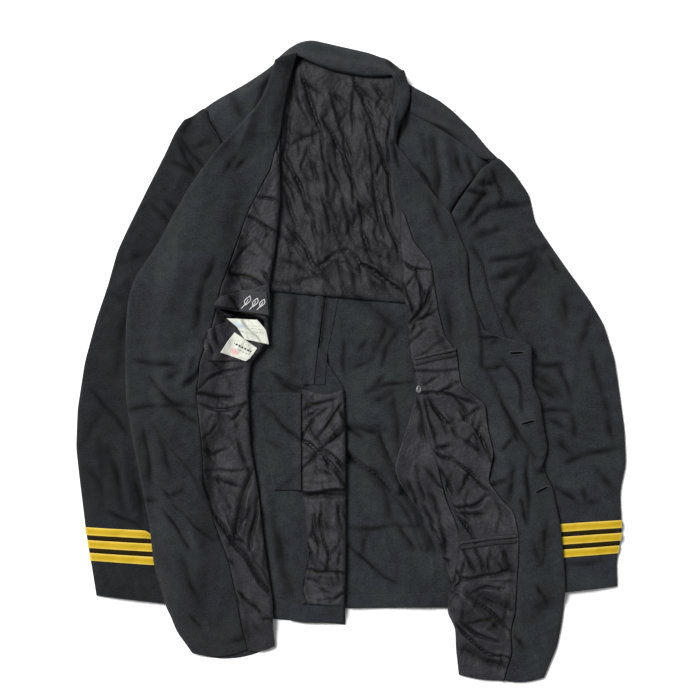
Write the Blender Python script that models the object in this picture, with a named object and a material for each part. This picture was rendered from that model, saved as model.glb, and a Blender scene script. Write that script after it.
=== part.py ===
"""Pilot uniform jacket, laid open on a flat surface: the solids of its cloth, trim and buttons.

The jacket lies on its back with both fronts folded open. Every piece of cloth is a sheet of its own,
cut to a table of cross sections and laid on the pieces below it, in the order in which they lie.
+X is the wearer's left, +Y runs from the hem to the collar, +Z is up, and the surface it lies on is z = 0.
Lengths in this file are millimetres until a mesh is made.
"""
import math

import bpy
import numpy as np
from mathutils import Matrix

MM = 0.001

# Driving sizes
WOOL_WALL = 1.5
SATIN_WALL = 1.0
BRAID_WALL = 1.0
PAPER_WALL = 1.0
LAY_GAP = 0.5          # air between a sheet and what it lies on
SEAM_GAP = 0.3         # between pieces that meet edge to edge
SLEEVE_HOLLOW = 3.0    # height of the empty sleeve between its two pieces
FRONT_ROLL = 3.5       # how far a folded front springs up beside its fold
ROLL_RADIUS = 9.0
FOLD_STEPS = (0.0, 2.5, 8.0)   # distances of the first columns from a folded edge
BRAID_WIDTH = 11.0
BRAID_PITCH = 17.6
BRAID_BANDS = 3
BRAID_TOP_LEFT = -228.0        # y of the top band's upper edge, on the sleeve's outer edge
BRAID_TOP_RIGHT = -218.0
LIP_HALF_WIDTH = 2.3
FOLD_FLOOR = 0.3       # a fold lower than this is left flat
BUTTON_SIZE = 20.0
INNER_BUTTON_SIZE = 10.0
BUTTON_WALL = 3.0
HEM_BOW_LEFT = -13.0   # how far the turned fronts' hems sag below a straight line
HEM_BOW_RIGHT = -7.0

# Sections of each sheet, from the top down: both ends of the row, in mm.
# left_x, left_y, right_x, right_y
BACK_LEFT = (
    (-94, 415, -36, 403),
    (-139, 377, -36, 371),
    (-178, 356, -36, 333),
    (-210, 334, -36, 291),
    (-197, 291, -36, 257),
    (-192, 243, -36, 215),
    (-204, 192, -37, 174),
    (-237, 157, -39, 137),
    (-241, 98, -41, 84),
    (-244, 29, -47, 22),
    (-247, -51, -8, -40),
    (-247, -123, -7, -116),
    (-247, -192, -6, -192),
    (-244, -275, -7, -275),
    (-236, -345, -8, -363),
)
BACK_RIGHT = (
    (-34, 403, 72, 388),
    (-34, 371, 109, 363),
    (-34, 333, 146, 333),
    (-34, 291, 186, 287),
    (-34, 257, 178, 253),
    (-34, 215, 164, 215),
    (-36, 174, 175, 181),
    (-37, 137, 226, 150),
    (-40, 84, 240, 91),
    (-46, 22, 244, 22),
    (-48, -29, 247, -43),
    (-41, -109, 250, -123),
    (-40, -192, 250, -206),
    (-40, -275, 250, -282),
    (-40, -341, 253, -338),
)
YOKE = (
    (-80, 423, 57, 396),
    (-123, 378, 87, 363),
    (-172, 352, 137, 335),
    (-200, 324, 178, 294),
    (-192, 270, 170, 247),
    (-189, 222, 161, 214),
    (-200, 174, 175, 170),
    (-219, 137, 206, 131),
    (-222, 106, 206, 68),
)
BODY_LEFT = (
    (-97, 418, -75, 414),
    (-115, 402, -89, 364),
    (-146, 382, -94, 335),
    (-186, 360, -98, 298),
    (-203, 348, -98, 264),
    (-189, 320, -98, 235),
    (-177, 291, -99, 208),
    (-167, 243, -102, 178),
    (-178, 195, -106, 141),
    (-222, 156, -113, 110),
    (-239, 98, -113, 70),
    (-243, 29, -113, 28),
    (-246, -15, -139, -3),
    (-247, -68, -142, -61),
    (-247, -137, -134, -142),
    (-246, -206, -126, -206),
    (-244, -268, -119, -266),
    (-240, -324, -110, -326),
    (-225, -371, -109, -386),
)
BODY_RIGHT = (
    (59, 360, 196, 272),
    (55, 330, 178, 262),
    (51, 299, 159, 239),
    (55, 270, 145, 221),
    (59, 243, 137, 204),
    (65, 215, 131, 181),
    (68, 184, 139, 153),
    (70, 146, 175, 123),
    (73, 98, 206, 95),
    (79, 57, 226, 50),
    (83, 12, 233, 8),
    (91, -37, 236, -40),
    (101, -88, 237, -88),
    (115, -131, 239, -137),
    (128, -178, 240, -185),
    (145, -233, 241, -233),
    (150, -282, 243, -282),
    (148, -330, 244, -330),
    (153, -385, 244, -385),
)
SHOULDER_RIGHT = (
    (84, 378, 81, 342),
    (101, 370, 95, 333),
    (121, 360, 115, 323),
    (139, 346, 132, 313),
    (152, 333, 146, 305),
    (167, 319, 160, 294),
    (184, 298, 178, 277),
    (203, 280, 197, 276),
)
SLEEVE_LEFT = (
    (-204, 342, -199, 338),
    (-230, 333, -178, 302),
    (-242, 317, -168, 264),
    (-255, 288, -168, 222),
    (-282, 235, -177, 192),
    (-308, 182, -172, 150),
    (-322, 152, -172, 108),
    (-335, 105, -178, 68),
    (-351, 58, -188, 22),
    (-367, -1, -199, -23),
    (-377, -66, -201, -75),
    (-379, -119, -204, -126),
    (-374, -164, -207, -173),
    (-366, -228, -208, -236),
    (-359, -272, -210, -281),
    (-351, -323, -211, -339),
)
SLEEVE_RIGHT = (
    (197, 276, 204, 280),
    (178, 264, 226, 258),
    (161, 239, 246, 229),
    (137, 204, 253, 193),
    (131, 172, 270, 167),
    (137, 137, 297, 128),
    (159, 84, 327, 87),
    (174, 43, 348, 52),
    (192, -6, 363, 4),
    (200, -51, 370, -43),
    (207, -102, 377, -95),
    (213, -148, 379, -142),
    (218, -188, 371, -178),
    (224, -247, 373, -237),
    (228, -284, 366, -275),
    (232, -326, 367, -310),
)
# Turned fronts: outer edge, seam between facing and lining, folded edge. Above the lining's first row the
# facing runs right across, and the seam is given as the fold.
# edge_x, edge_y, seam_x, seam_y, fold_x, fold_y
FRONT_LEFT = (
    (-104, 411, -73, 421, -73, 421),
    (-110, 391, -82, 394, -82, 394),
    (-116, 371, -88, 368, -88, 368),
    (-131, 346, -92, 344, -92, 344),
    (-160, 315, -97, 309, -97, 309),
    (-182, 290, -104, 288, -98, 280),
    (-204, 262, -110, 261, -98, 250),
    (-224, 235, -128, 228, -98, 222),
    (-243, 203, -142, 201, -101, 188),
    (-261, 167, -157, 156, -105, 153),
    (-282, 137, -168, 123, -110, 123),
    (-298, 112, -177, 101, -113, 98),
    (-306, 84, -181, 79, -113, 68),
    (-309, 43, -193, 37, -113, 28),
    (-310, -1, -206, -1, -139, -3),
    (-309, -54, -211, -51, -142, -48),
    (-298, -119, -203, -117, -139, -116),
    (-288, -171, -200, -170, -130, -167),
    (-277, -222, -186, -221, -124, -219),
    (-270, -279, -167, -276, -117, -275),
    (-254, -334, -155, -330, -109, -326),
    (-241, -371, -148, -370, -108, -368),
    (-219, -402, -142, -397, -106, -392),
)
FRONT_RIGHT = (
    (73, 399, 55, 392, 55, 392),
    (80, 377, 62, 377, 62, 377),
    (81, 363, 65, 363, 65, 363),
    (77, 344, 61, 344, 61, 344),
    (66, 324, 54, 323, 54, 323),
    (61, 297, 50, 302, 50, 302),
    (79, 275, 54, 277, 54, 277),
    (95, 253, 58, 253, 58, 253),
    (115, 226, 63, 228, 63, 228),
    (135, 203, 73, 203, 68, 204),
    (148, 170, 84, 167, 69, 170),
    (159, 145, 109, 134, 70, 139),
    (161, 98, 115, 95, 73, 95),
    (171, 68, 120, 65, 79, 62),
    (182, 40, 128, 36, 80, 34),
    (247, 22, 145, 12, 83, 7),
    (248, -32, 150, -32, 91, -37),
    (259, -54, 184, -59, 97, -61),
    (265, -94, 188, -95, 105, -98),
    (270, -119, 195, -126, 115, -128),
    (262, -145, 188, -164, 123, -150),
    (277, -174, 206, -189, 131, -178),
    (283, -203, 222, -204, 145, -206),
    (288, -228, 228, -235, 149, -239),
    (291, -265, 228, -268, 148, -269),
    (294, -295, 226, -297, 142, -297),
    (294, -320, 225, -320, 134, -320),
    (293, -341, 224, -346, 134, -346),
    (290, -363, 219, -371, 145, -368),
    (284, -393, 221, -402, 146, -396),
    (266, -436, 210, -440, 150, -432),
)
# left_x, left_y, right_x, right_y
LAPEL_LEFT = (
    (-199, 261, -159, 241),
    (-237, 203, -178, 184),
    (-276, 137, -201, 119),
    (-301, 81, -214, 68),
    (-304, 43, -250, 22),
)
LAPEL_RIGHT = (
    (102, 203, 145, 184),
    (112, 170, 168, 159),
    (117, 137, 179, 139),
    (123, 98, 189, 94),
    (131, 65, 200, 62),
    (139, 37, 210, 37),
    (145, 15, 217, 19),
)
SIDE_RIGHT = (
    (88, -48, 94, -47),
    (80, -79, 101, -79),
    (69, -112, 109, -109),
    (59, -145, 119, -139),
    (66, -166, 124, -167),
    (84, -192, 131, -192),
    (101, -218, 144, -222),
    (119, -250, 153, -250),
    (128, -275, 159, -275),
    (137, -308, 159, -305),
    (134, -339, 159, -335),
)
# The collar's rows run round the neck: seam end first, top edge second.
# seam_x, seam_y, top_x, top_y
COLLAR_STAND = (
    (-73, 422, -104, 412),
    (-64, 414, -88, 430),
    (-47, 406, -71, 440),
    (-26, 398, -54, 443),
    (-4, 393, -15, 434),
    (27, 389, 25, 425),
    (50, 390, 54, 414),
    (57, 391, 72, 400),
)
COLLAR_LEAF = (
    (-92, 418, -95, 396),
    (-72, 436, -72, 392),
    (-52, 442, -50, 385),
    (-15, 433, -22, 379),
    (23, 424, 8, 377),
    (52, 417, 37, 374),
    (69, 402, 59, 374),
)
HEM_LEFT = (
    (-103, -324, -101, -341),
    (-84, -330, -84, -357),
    (-68, -333, -65, -360),
    (-10, -335, -10, -360),
)
HEM_RIGHT = (
    (-3, -320, -3, -339),
    (68, -319, 68, -339),
    (131, -317, 131, -339),
    (206, -317, 206, -338),
    (250, -317, 250, -337),
)
SEAM_LEFT = (
    (-47, 101, -33, 101),
    (-54, 57, -40, 57),
    (-61, 15, -46, 15),
    (-66, -32, -51, -32),
)
SEAM_RIGHT = (
    (-32, 101, -15, 101),
    (-39, 57, -23, 57),
    (-44, 15, -32, 15),
    (-50, -32, -36, -32),
)
VENT_FACING = (
    (-66, -34, -10, -34),
    (-66, -109, -7, -109),
    (-66, -181, -7, -181),
    (-62, -230, -7, -230),
    (-58, -269, -7, -269),
    (-66, -302, -8, -302),
    (-68, -333, -10, -335),
)
TUCK_LEFT = (
    (-132, -43, -68, -43),
    (-127, -68, -68, -68),
    (-117, -123, -68, -123),
    (-106, -177, -68, -177),
)
POCKET_BAND = (
    (-179, 88, -112, 106),
    (-185, 80, -110, 87),
    (-188, 73, -110, 61),
)
POCKET_BAG = (
    (-197, 43, -153, 62),
    (-201, 21, -145, 37),
    (-195, 1, -139, 0),
)
NAME_TAG = (
    (-152, 98, -115, 94),
    (-152, 81, -113, 77),
    (-152, 69, -112, 63),
)
LABEL_UPPER = (
    (-170, 59, -128, 57),
    (-156, 47, -116, 43),
    (-145, 30, -112, 23),
)
LABEL_LOWER = (
    (-159, 40, -128, 18),
    (-168, 28, -138, 4),
    (-178, 12, -144, 0),
)
# Pocket lips, each a narrow welt: the middle of its two ends.
# name, start_x, start_y, end_x, end_y
POCKET_LIPS = (
    ("welt_upper_1", 87, 4, 144, 17),
    ("welt_upper_2", 88, -3, 144, 10),
    ("welt_lower_1", 149, -248, 225, -237),
    ("welt_lower_2", 150, -255, 225, -244),
)
# Buttons under the left front, where the right front's holes reach them.
# name, x, y
HIDDEN_BUTTONS = (
    ("button_upper", -196, 11),
    ("button_middle", -196, -83),
    ("button_lower", -196, -177),
)
INNER_BUTTON = (92.0, -38.0)
INNER_BUTTON_TILT = math.radians(50)

# The largest folds of each sheet: ridges along a line, in mm.
# start_x, start_y, end_x, end_y, half_width, height
NO_FOLDS = ()
BACK_RIGHT_FOLDS = (
    (-6, -119, 62, -178, 22, 5),
    (62, -178, 95, -248, 20, 4),
    (39, -90, 58, -145, 18, 4),
)
BACK_LEFT_FOLDS = (
    (-130, -66, -70, -102, 20, 3),
)
YOKE_FOLDS = (
    (-45, 317, -30, 266, 22, 4),
    (3, 391, 47, 304, 22, 4),
    (-46, 128, 15, 143, 22, 4),
    (12, 136, 69, 101, 20, 5),
)
BODY_RIGHT_FOLDS = (
    (112, 297, 116, 232, 20, 5),
    (150, 273, 172, 250, 18, 4),
)
SLEEVE_LEFT_FOLDS = (
    (-250, 290, -190, 250, 24, 4),
    (-300, 210, -240, 160, 28, 4),
)
SLEEVE_RIGHT_FOLDS = (
    (172, 240, 250, 215, 26, 6),
    (165, 205, 244, 204, 24, 5),
    (212, 88, 265, 155, 26, 5),
    (255, -10, 300, -70, 30, 4),
    (320, -135, 366, -120, 26, 4),
)
FRONT_LEFT_FOLDS = (
    (-306, -60, -232, -66, 26, 3),
    (-272, -26, -212, -64, 24, 4),
    (-200, 18, -226, -36, 24, 4),
)
FRONT_RIGHT_FOLDS = (
    (178, -7, 250, -134, 26, 6),
    (133, -210, 200, -175, 24, 4),
)
LINING_FOLDS = (
    (133, -316, 222, -372, 26, 4),
    (185, -295, 150, -250, 24, 4),
    (110, -54, 143, -104, 20, 4),
    (146, -66, 189, -138, 20, 4),
)

# slot: base colour, roughness, metallic
FINISHES = {
    "wool": ((0.033, 0.038, 0.041, 1.0), 0.9, 0.0),
    "satin": ((0.042, 0.040, 0.044, 1.0), 0.5, 0.0),
    "braid": ((0.80, 0.56, 0.03, 1.0), 0.6, 0.0),
    "name_tag": ((0.01, 0.01, 0.012, 1.0), 0.7, 0.0),
    "label": ((0.62, 0.62, 0.55, 1.0), 0.7, 0.0),
    "button": ((0.20, 0.20, 0.20, 1.0), 0.35, 0.0),
}


class Pile:
    """Height map of everything laid down so far, on square cells."""

    CELL = 4.0
    LOW = np.array((-440.0, -500.0))
    SHAPE = (220, 250)
    SPLIT = 12       # samples along a triangle's side

    def __init__(self):
        self.height = np.zeros(self.SHAPE)
        i, j = np.meshgrid(range(self.SPLIT + 1), range(self.SPLIT + 1), indexing="ij")
        inside = (i + j) <= self.SPLIT
        a, b = i[inside] / self.SPLIT, j[inside] / self.SPLIT
        self.weights = np.stack((a, b, 1.0 - a - b), axis=1)

    def samples(self, points, triangles):
        """Points spread over every triangle, and their cells."""
        spread = np.einsum("kc,tcd->tkd", self.weights, points[triangles])
        cells = ((spread[..., :2] - self.LOW) / self.CELL).astype(int)
        return spread, cells[..., 0], cells[..., 1]

    def widened(self):
        """The height map with every cell raised to its highest neighbour."""
        padded = np.pad(self.height, 1)
        rows, columns = self.SHAPE
        views = [padded[i:i + rows, j:j + columns] for i in range(3) for j in range(3)]
        return np.max(views, axis=0)

    def under(self, points, triangles):
        """Lowest height at which each point's triangles clear the pile."""
        _, i, j = self.samples(points, triangles)
        highest = self.widened()[i, j].max(axis=1)
        support = np.zeros(len(points))
        for corner in range(3):
            np.maximum.at(support, triangles[:, corner], highest)
        return support

    def add(self, points, triangles):
        spread, i, j = self.samples(points, triangles)
        np.maximum.at(self.height, (i.ravel(), j.ravel()), spread[..., 2].ravel())


PILE = Pile()


def smoothstep(t):
    t = np.clip(t, 0.0, 1.0)
    return t * t * (3.0 - 2.0 * t)


def across(widths, count, fold):
    """Fractions across each row: even, or crowded by FOLD_STEPS beside its "left" or "right" fold."""
    if fold is None:
        return np.tile(np.linspace(0.0, 1.0, count), (len(widths), 1))
    steps = np.array(FOLD_STEPS)[None, :] / np.maximum(widths, FOLD_STEPS[-1] * 1.6)[:, None]
    rest = np.linspace(0.0, 1.0, count - len(FOLD_STEPS) + 1)[1:]
    beyond = steps[:, -1:] + (1.0 - steps[:, -1:]) * rest[None, :]
    fractions = np.concatenate((steps, beyond), axis=1)
    return fractions if fold == "left" else 1.0 - fractions[:, ::-1]


def rows_to_grid(sections, count, fold=None, end_bow=0.0):
    """Plan of a sheet: each section is a row of points from its left end to its right end."""
    ends = np.array(sections, dtype=float)
    left, right = ends[:, :2], ends[:, 2:4]
    widths = np.hypot(*(right - left).T)
    t = across(widths, count, fold)[..., None]
    plan = left[:, None] * (1.0 - t) + right[:, None] * t
    plan[-1, :, 1] += end_bow * (4.0 * t * (1.0 - t))[-1, :, 0]
    return plan, t[..., 0], widths


def ridges(plan, folds):
    """Height of the largest folds: each a soft ridge that fades to both ends of its line."""
    height = np.zeros(plan.shape[:2])
    for start_x, start_y, end_x, end_y, half_width, rise in folds:
        start = np.array((start_x, start_y), dtype=float)
        line = np.array((end_x, end_y), dtype=float) - start
        length = np.hypot(*line)
        offset = plan - start
        along = (offset @ line) / length ** 2
        aside = (offset[..., 0] * line[1] - offset[..., 1] * line[0]) / length
        reach = np.clip(along, 0.0, 1.0)
        fade = np.exp(-((along - reach) * length / half_width) ** 2)
        height = np.maximum(height, rise * fade * np.exp(-(aside / half_width) ** 2))
    return np.where(height < FOLD_FLOOR, 0.0, height)


def triangles_of(rows, columns):
    """Index triples of a grid's triangles, counterclockwise when rows run down and columns run right."""
    index = np.arange(rows * columns).reshape(rows, columns)
    a, b = index[:-1, :-1].ravel(), index[:-1, 1:].ravel()
    c, d = index[1:, 1:].ravel(), index[1:, :-1].ravel()
    return np.concatenate((np.stack((a, d, c), 1), np.stack((a, c, b), 1)))


def facing_up(plan, triangles):
    """The triangles, turned round if the plan runs the other way."""
    a, b, c = (plan.reshape(-1, 2)[triangles[:, k]] for k in range(3))
    doubled = (b[:, 0] - a[:, 0]) * (c[:, 1] - a[:, 1]) - (c[:, 0] - a[:, 0]) * (b[:, 1] - a[:, 1])
    return triangles if doubled.sum() > 0 else triangles[:, ::-1]


def new_object(name, points, faces, slot):
    """A mesh object in metres with the material of its slot."""
    mesh = bpy.data.meshes.new(name)
    mesh.from_pydata((np.asarray(points) * MM).tolist(), [], faces)
    mesh.validate()
    mesh.materials.append(material(slot))
    part = bpy.data.objects.new(name, mesh)
    bpy.context.scene.collection.objects.link(part)
    return part


def material(slot):
    found = bpy.data.materials.get(slot)
    if found:
        return found
    colour, roughness, metallic = FINISHES[slot]
    made = bpy.data.materials.new(slot)
    made.use_nodes = True
    surface = made.node_tree.nodes["Principled BSDF"]
    surface.inputs["Base Color"].default_value = colour
    surface.inputs["Roughness"].default_value = roughness
    surface.inputs["Metallic"].default_value = metallic
    return made


def rim(rows, columns):
    """Indices round a grid's edge, in order."""
    index = np.arange(rows * columns).reshape(rows, columns)
    return np.concatenate((index[0, :-1], index[:-1, -1], index[-1, :0:-1], index[:0:-1, 0]))


def lay(name, plan, lift, slot, wall):
    """Lays a sheet on the pile: a closed wall with the given plan, raised by lift above its rest."""
    rows, columns = plan.shape[:2]
    triangles = facing_up(plan, triangles_of(rows, columns))
    flat = np.concatenate((plan.reshape(-1, 2), np.zeros((rows * columns, 1))), axis=1)
    support = PILE.under(flat, triangles)
    touching = np.where(support > 0.0, LAY_GAP, 0.0)
    under = flat.copy()
    under[:, 2] = support + touching + lift.ravel()
    over = under.copy()
    over[:, 2] += wall
    PILE.add(over, triangles)
    edge = rim(rows, columns)
    after = np.roll(edge, -1)
    count = rows * columns
    walls = np.concatenate((np.stack((edge, after, after + count), 1), np.stack((edge, after + count, edge + count), 1)))
    if signed_area(flat[edge]) < 0:
        walls = walls[:, ::-1]
    faces = np.concatenate((triangles + count, triangles[:, ::-1], walls))
    return new_object(name, np.concatenate((under, over)), faces.tolist(), slot)


def signed_area(loop):
    x, y = loop[:, 0], loop[:, 1]
    return 0.5 * np.sum(x * np.roll(y, -1) - np.roll(x, -1) * y)


def plain_sheet(name, sections, columns, slot, wall, folds=NO_FOLDS):
    plan, _, _ = rows_to_grid(sections, columns)
    return lay(name, plan, ridges(plan, folds), slot, wall)


def roll_lift(fractions, widths, fold):
    """Spring of a folded front: a quarter round beside the fold that settles towards the free edge."""
    from_fold = fractions if fold == "left" else 1.0 - fractions
    distance = from_fold * widths[:, None]
    quarter = np.sqrt(1.0 - (1.0 - np.clip(distance / ROLL_RADIUS, 0.0, 1.0)) ** 2)
    return FRONT_ROLL * quarter * (1.0 - smoothstep(1.3 * from_fold - 0.3))


def columns_of(table, first, second):
    """Two pairs of columns of a front's table, as sections."""
    rows = np.array(table, dtype=float)
    return np.concatenate((rows[:, first:first + 2], rows[:, second:second + 2]), axis=1)


EDGE, SEAM, FOLD = 0, 2, 4


def turned_front(side, table, fold, folds, hem_bow):
    """The front's own cloth, folded open, inner side up."""
    first, second = (EDGE, FOLD) if fold == "right" else (FOLD, EDGE)
    plan, fractions, widths = rows_to_grid(columns_of(table, first, second), 8, fold, hem_bow)
    lift = roll_lift(fractions, widths, fold) + ridges(plan, folds)
    return lay(f"front_turned_{side}", plan, lift, "wool", WOOL_WALL)


def facing(side, table, fold, hem_bow):
    """Wool facing along the front edge, as wide as the front above the lining."""
    first, second = (EDGE, SEAM) if fold == "right" else (SEAM, EDGE)
    plan, _, _ = rows_to_grid(columns_of(table, first, second), 5, None, 0.6 * hem_bow)
    return lay(f"facing_{side}", plan, np.zeros(plan.shape[:2]), "wool", WOOL_WALL)


def front_lining(side, table, fold, folds, hem_bow):
    """Satin lining from the facing to the fold, which it wraps."""
    lined = [row for row in table if (row[SEAM], row[SEAM + 1]) != (row[FOLD], row[FOLD + 1])]
    sections = columns_of(lined, SEAM, FOLD)
    outward = 1.0 if fold == "right" else -1.0
    sections[:, 0] += outward * SEAM_GAP
    sections[:, 2] += outward * (SATIN_WALL + LAY_GAP)
    if fold == "left":
        sections = sections[:, (2, 3, 0, 1)]
    plan, _, _ = rows_to_grid(sections, 6, fold, 0.4 * hem_bow)
    return lay(f"lining_{side}", plan, ridges(plan, folds), "satin", SATIN_WALL)


def sleeve_plan(sections):
    plan, fractions, _ = rows_to_grid(sections, 7)
    return plan, np.sqrt(4.0 * fractions * (1.0 - fractions))


def under_sleeve(side, sections):
    plan, _ = sleeve_plan(sections)
    return lay(f"sleeve_under_{side}", plan, np.zeros(plan.shape[:2]), "wool", WOOL_WALL)


def top_sleeve(side, sections, folds):
    plan, bulge = sleeve_plan(sections)
    lift = SLEEVE_HOLLOW * bulge + ridges(plan, folds) * bulge
    return lay(f"sleeve_top_{side}", plan, lift, "wool", WOOL_WALL)


def sleeve_row(sections, outer_column, height):
    """The sleeve's section where its outer edge passes the given y."""
    table = np.array(sections, dtype=float)[::-1]
    outer_y = table[:, outer_column + 1]
    return [np.interp(height, outer_y, table[:, k]) for k in range(4)]


def braid(side, layer, sections, outer_column, top):
    """Gold braid round the cuff: the bands' strips on one piece of the sleeve."""
    for band in range(BRAID_BANDS):
        upper = top - band * BRAID_PITCH
        edges = [sleeve_row(sections, outer_column, upper), sleeve_row(sections, outer_column, upper - BRAID_WIDTH)]
        plain_sheet(f"braid_{layer}_{side}_{band + 1}", edges, 7, "braid", BRAID_WALL)


def pocket_lip(name, start_x, start_y, end_x, end_y):
    rise = np.array((0.0, LIP_HALF_WIDTH))
    start, end = np.array((start_x, start_y), dtype=float), np.array((end_x, end_y), dtype=float)
    edges = [(*(start + rise), *(end + rise)), (*(start - rise), *(end - rise))]
    plain_sheet(name, edges, 4, "satin", SATIN_WALL)


def button(name, x, y, size, tilt=0.0):
    """A round button, standing on the pile: flat, or leaning over by tilt."""
    sides = 16
    turn = np.arange(sides) * 2.0 * math.pi / sides
    ring = 0.5 * size * np.stack((np.cos(turn), np.sin(turn)), axis=1)
    disc = np.concatenate([np.column_stack((ring, np.full(sides, z))) for z in (0.0, BUTTON_WALL)])
    lean = np.array(((math.cos(tilt), 0.0, math.sin(tilt)), (0.0, 1.0, 0.0), (-math.sin(tilt), 0.0, math.cos(tilt))))
    disc = disc @ lean.T
    middle = disc.mean(axis=0)
    disc += np.array((x - middle[0], y - middle[1], -disc[:, 2].min()))
    fan = np.array([(0, k, k + 1) for k in range(1, sides - 1)])
    clear = PILE.under(disc, fan).max() + LAY_GAP
    disc[:, 2] += clear
    shadow = disc.copy()
    shadow[:, 2] = disc[:, 2].max()
    PILE.add(shadow, fan)
    bottom = [tuple(range(sides - 1, -1, -1))]
    top = [tuple(range(sides, 2 * sides))]
    walls = [(k, (k + 1) % sides, sides + (k + 1) % sides, sides + k) for k in range(sides)]
    return new_object(name, disc, bottom + top + walls, "button")


def lay_back():
    plain_sheet("collar_leaf", COLLAR_LEAF, 3, "wool", WOOL_WALL)
    braid("left", "under", SLEEVE_LEFT, 0, BRAID_TOP_LEFT)
    braid("right", "under", SLEEVE_RIGHT, 2, BRAID_TOP_RIGHT)
    plain_sheet("back_right", BACK_RIGHT, 7, "wool", WOOL_WALL, BACK_RIGHT_FOLDS)
    plain_sheet("back_left", BACK_LEFT, 6, "wool", WOOL_WALL, BACK_LEFT_FOLDS)
    plain_sheet("back_hem_left", HEM_LEFT, 2, "wool", WOOL_WALL)
    plain_sheet("back_hem_right", HEM_RIGHT, 2, "wool", WOOL_WALL)
    plain_sheet("centre_seam_left", SEAM_LEFT, 2, "wool", SATIN_WALL)
    plain_sheet("centre_seam_right", SEAM_RIGHT, 2, "wool", SATIN_WALL)
    plain_sheet("vent_facing", VENT_FACING, 4, "satin", SATIN_WALL)
    plain_sheet("back_tuck_left", TUCK_LEFT, 3, "wool", WOOL_WALL)
    plain_sheet("yoke_lining", YOKE, 9, "satin", SATIN_WALL, YOKE_FOLDS)


def lay_fronts_and_sleeves():
    plain_sheet("front_body_left", BODY_LEFT, 5, "wool", WOOL_WALL)
    plain_sheet("front_body_right", BODY_RIGHT, 6, "wool", WOOL_WALL, BODY_RIGHT_FOLDS)
    plain_sheet("back_shoulder_right", SHOULDER_RIGHT, 3, "wool", WOOL_WALL)
    plain_sheet("collar_stand", COLLAR_STAND, 3, "wool", WOOL_WALL)
    under_sleeve("left", SLEEVE_LEFT)
    under_sleeve("right", SLEEVE_RIGHT)
    top_sleeve("left", SLEEVE_LEFT, SLEEVE_LEFT_FOLDS)
    top_sleeve("right", SLEEVE_RIGHT, SLEEVE_RIGHT_FOLDS)
    braid("left", "top", SLEEVE_LEFT, 0, BRAID_TOP_LEFT)
    braid("right", "top", SLEEVE_RIGHT, 2, BRAID_TOP_RIGHT)


def lay_turned_fronts():
    plain_sheet("lapel_left", LAPEL_LEFT, 4, "wool", WOOL_WALL)
    plain_sheet("lapel_right", LAPEL_RIGHT, 4, "wool", WOOL_WALL)
    for name, x, y in HIDDEN_BUTTONS:
        button(name, x, y, BUTTON_SIZE)
    plain_sheet("side_lining_right", SIDE_RIGHT, 4, "satin", SATIN_WALL)
    turned_front("left", FRONT_LEFT, "right", FRONT_LEFT_FOLDS, HEM_BOW_LEFT)
    turned_front("right", FRONT_RIGHT, "left", FRONT_RIGHT_FOLDS, HEM_BOW_RIGHT)
    facing("left", FRONT_LEFT, "right", HEM_BOW_LEFT)
    facing("right", FRONT_RIGHT, "left", HEM_BOW_RIGHT)
    front_lining("left", FRONT_LEFT, "right", NO_FOLDS, HEM_BOW_LEFT)
    front_lining("right", FRONT_RIGHT, "left", LINING_FOLDS, HEM_BOW_RIGHT)


def lay_trim():
    plain_sheet("pocket_bag_left", POCKET_BAG, 3, "satin", SATIN_WALL)
    plain_sheet("label_lower", LABEL_LOWER, 3, "label", PAPER_WALL)
    plain_sheet("label_upper", LABEL_UPPER, 3, "label", PAPER_WALL)
    plain_sheet("pocket_band_left", POCKET_BAND, 4, "satin", SATIN_WALL)
    plain_sheet("name_tag", NAME_TAG, 3, "name_tag", PAPER_WALL)
    for lip in POCKET_LIPS:
        pocket_lip(*lip)
    button("button_inner", *INNER_BUTTON, INNER_BUTTON_SIZE, INNER_BUTTON_TILT)


def stand_on_origin():
    """Moves all meshes together, so that the origin is below the middle of the whole jacket's box."""
    corners = np.array([corner for part in bpy.data.objects for corner in part.bound_box])
    low, high = corners.min(axis=0), corners.max(axis=0)
    shift = Matrix.Translation((-0.5 * (low[0] + high[0]), -0.5 * (low[1] + high[1]), -low[2]))
    for part in bpy.data.objects:
        part.data.transform(shift)


def main():
    for leftover in list(bpy.data.objects):
        bpy.data.objects.remove(leftover)
    lay_back()
    lay_fronts_and_sleeves()
    lay_turned_fronts()
    lay_trim()
    stand_on_origin()


main()
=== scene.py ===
# %% [markdown]
# # A pilot's uniform jacket, laid open
# The jacket lies on its back with both fronts folded open, so its half lining, its inner pockets and the inner
# side of its fronts show. Each sewn piece is a thin closed shell of cloth. It could be dropped and crumpled by
# a cloth simulation, but the folds of a garment that was laid out by hand are placed where hands put them, so
# here every sheet is a surface worked out on a grid, laid on the heap of sheets below it, and creased along
# lines.

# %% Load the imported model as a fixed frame
import math
from functools import partial

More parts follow.
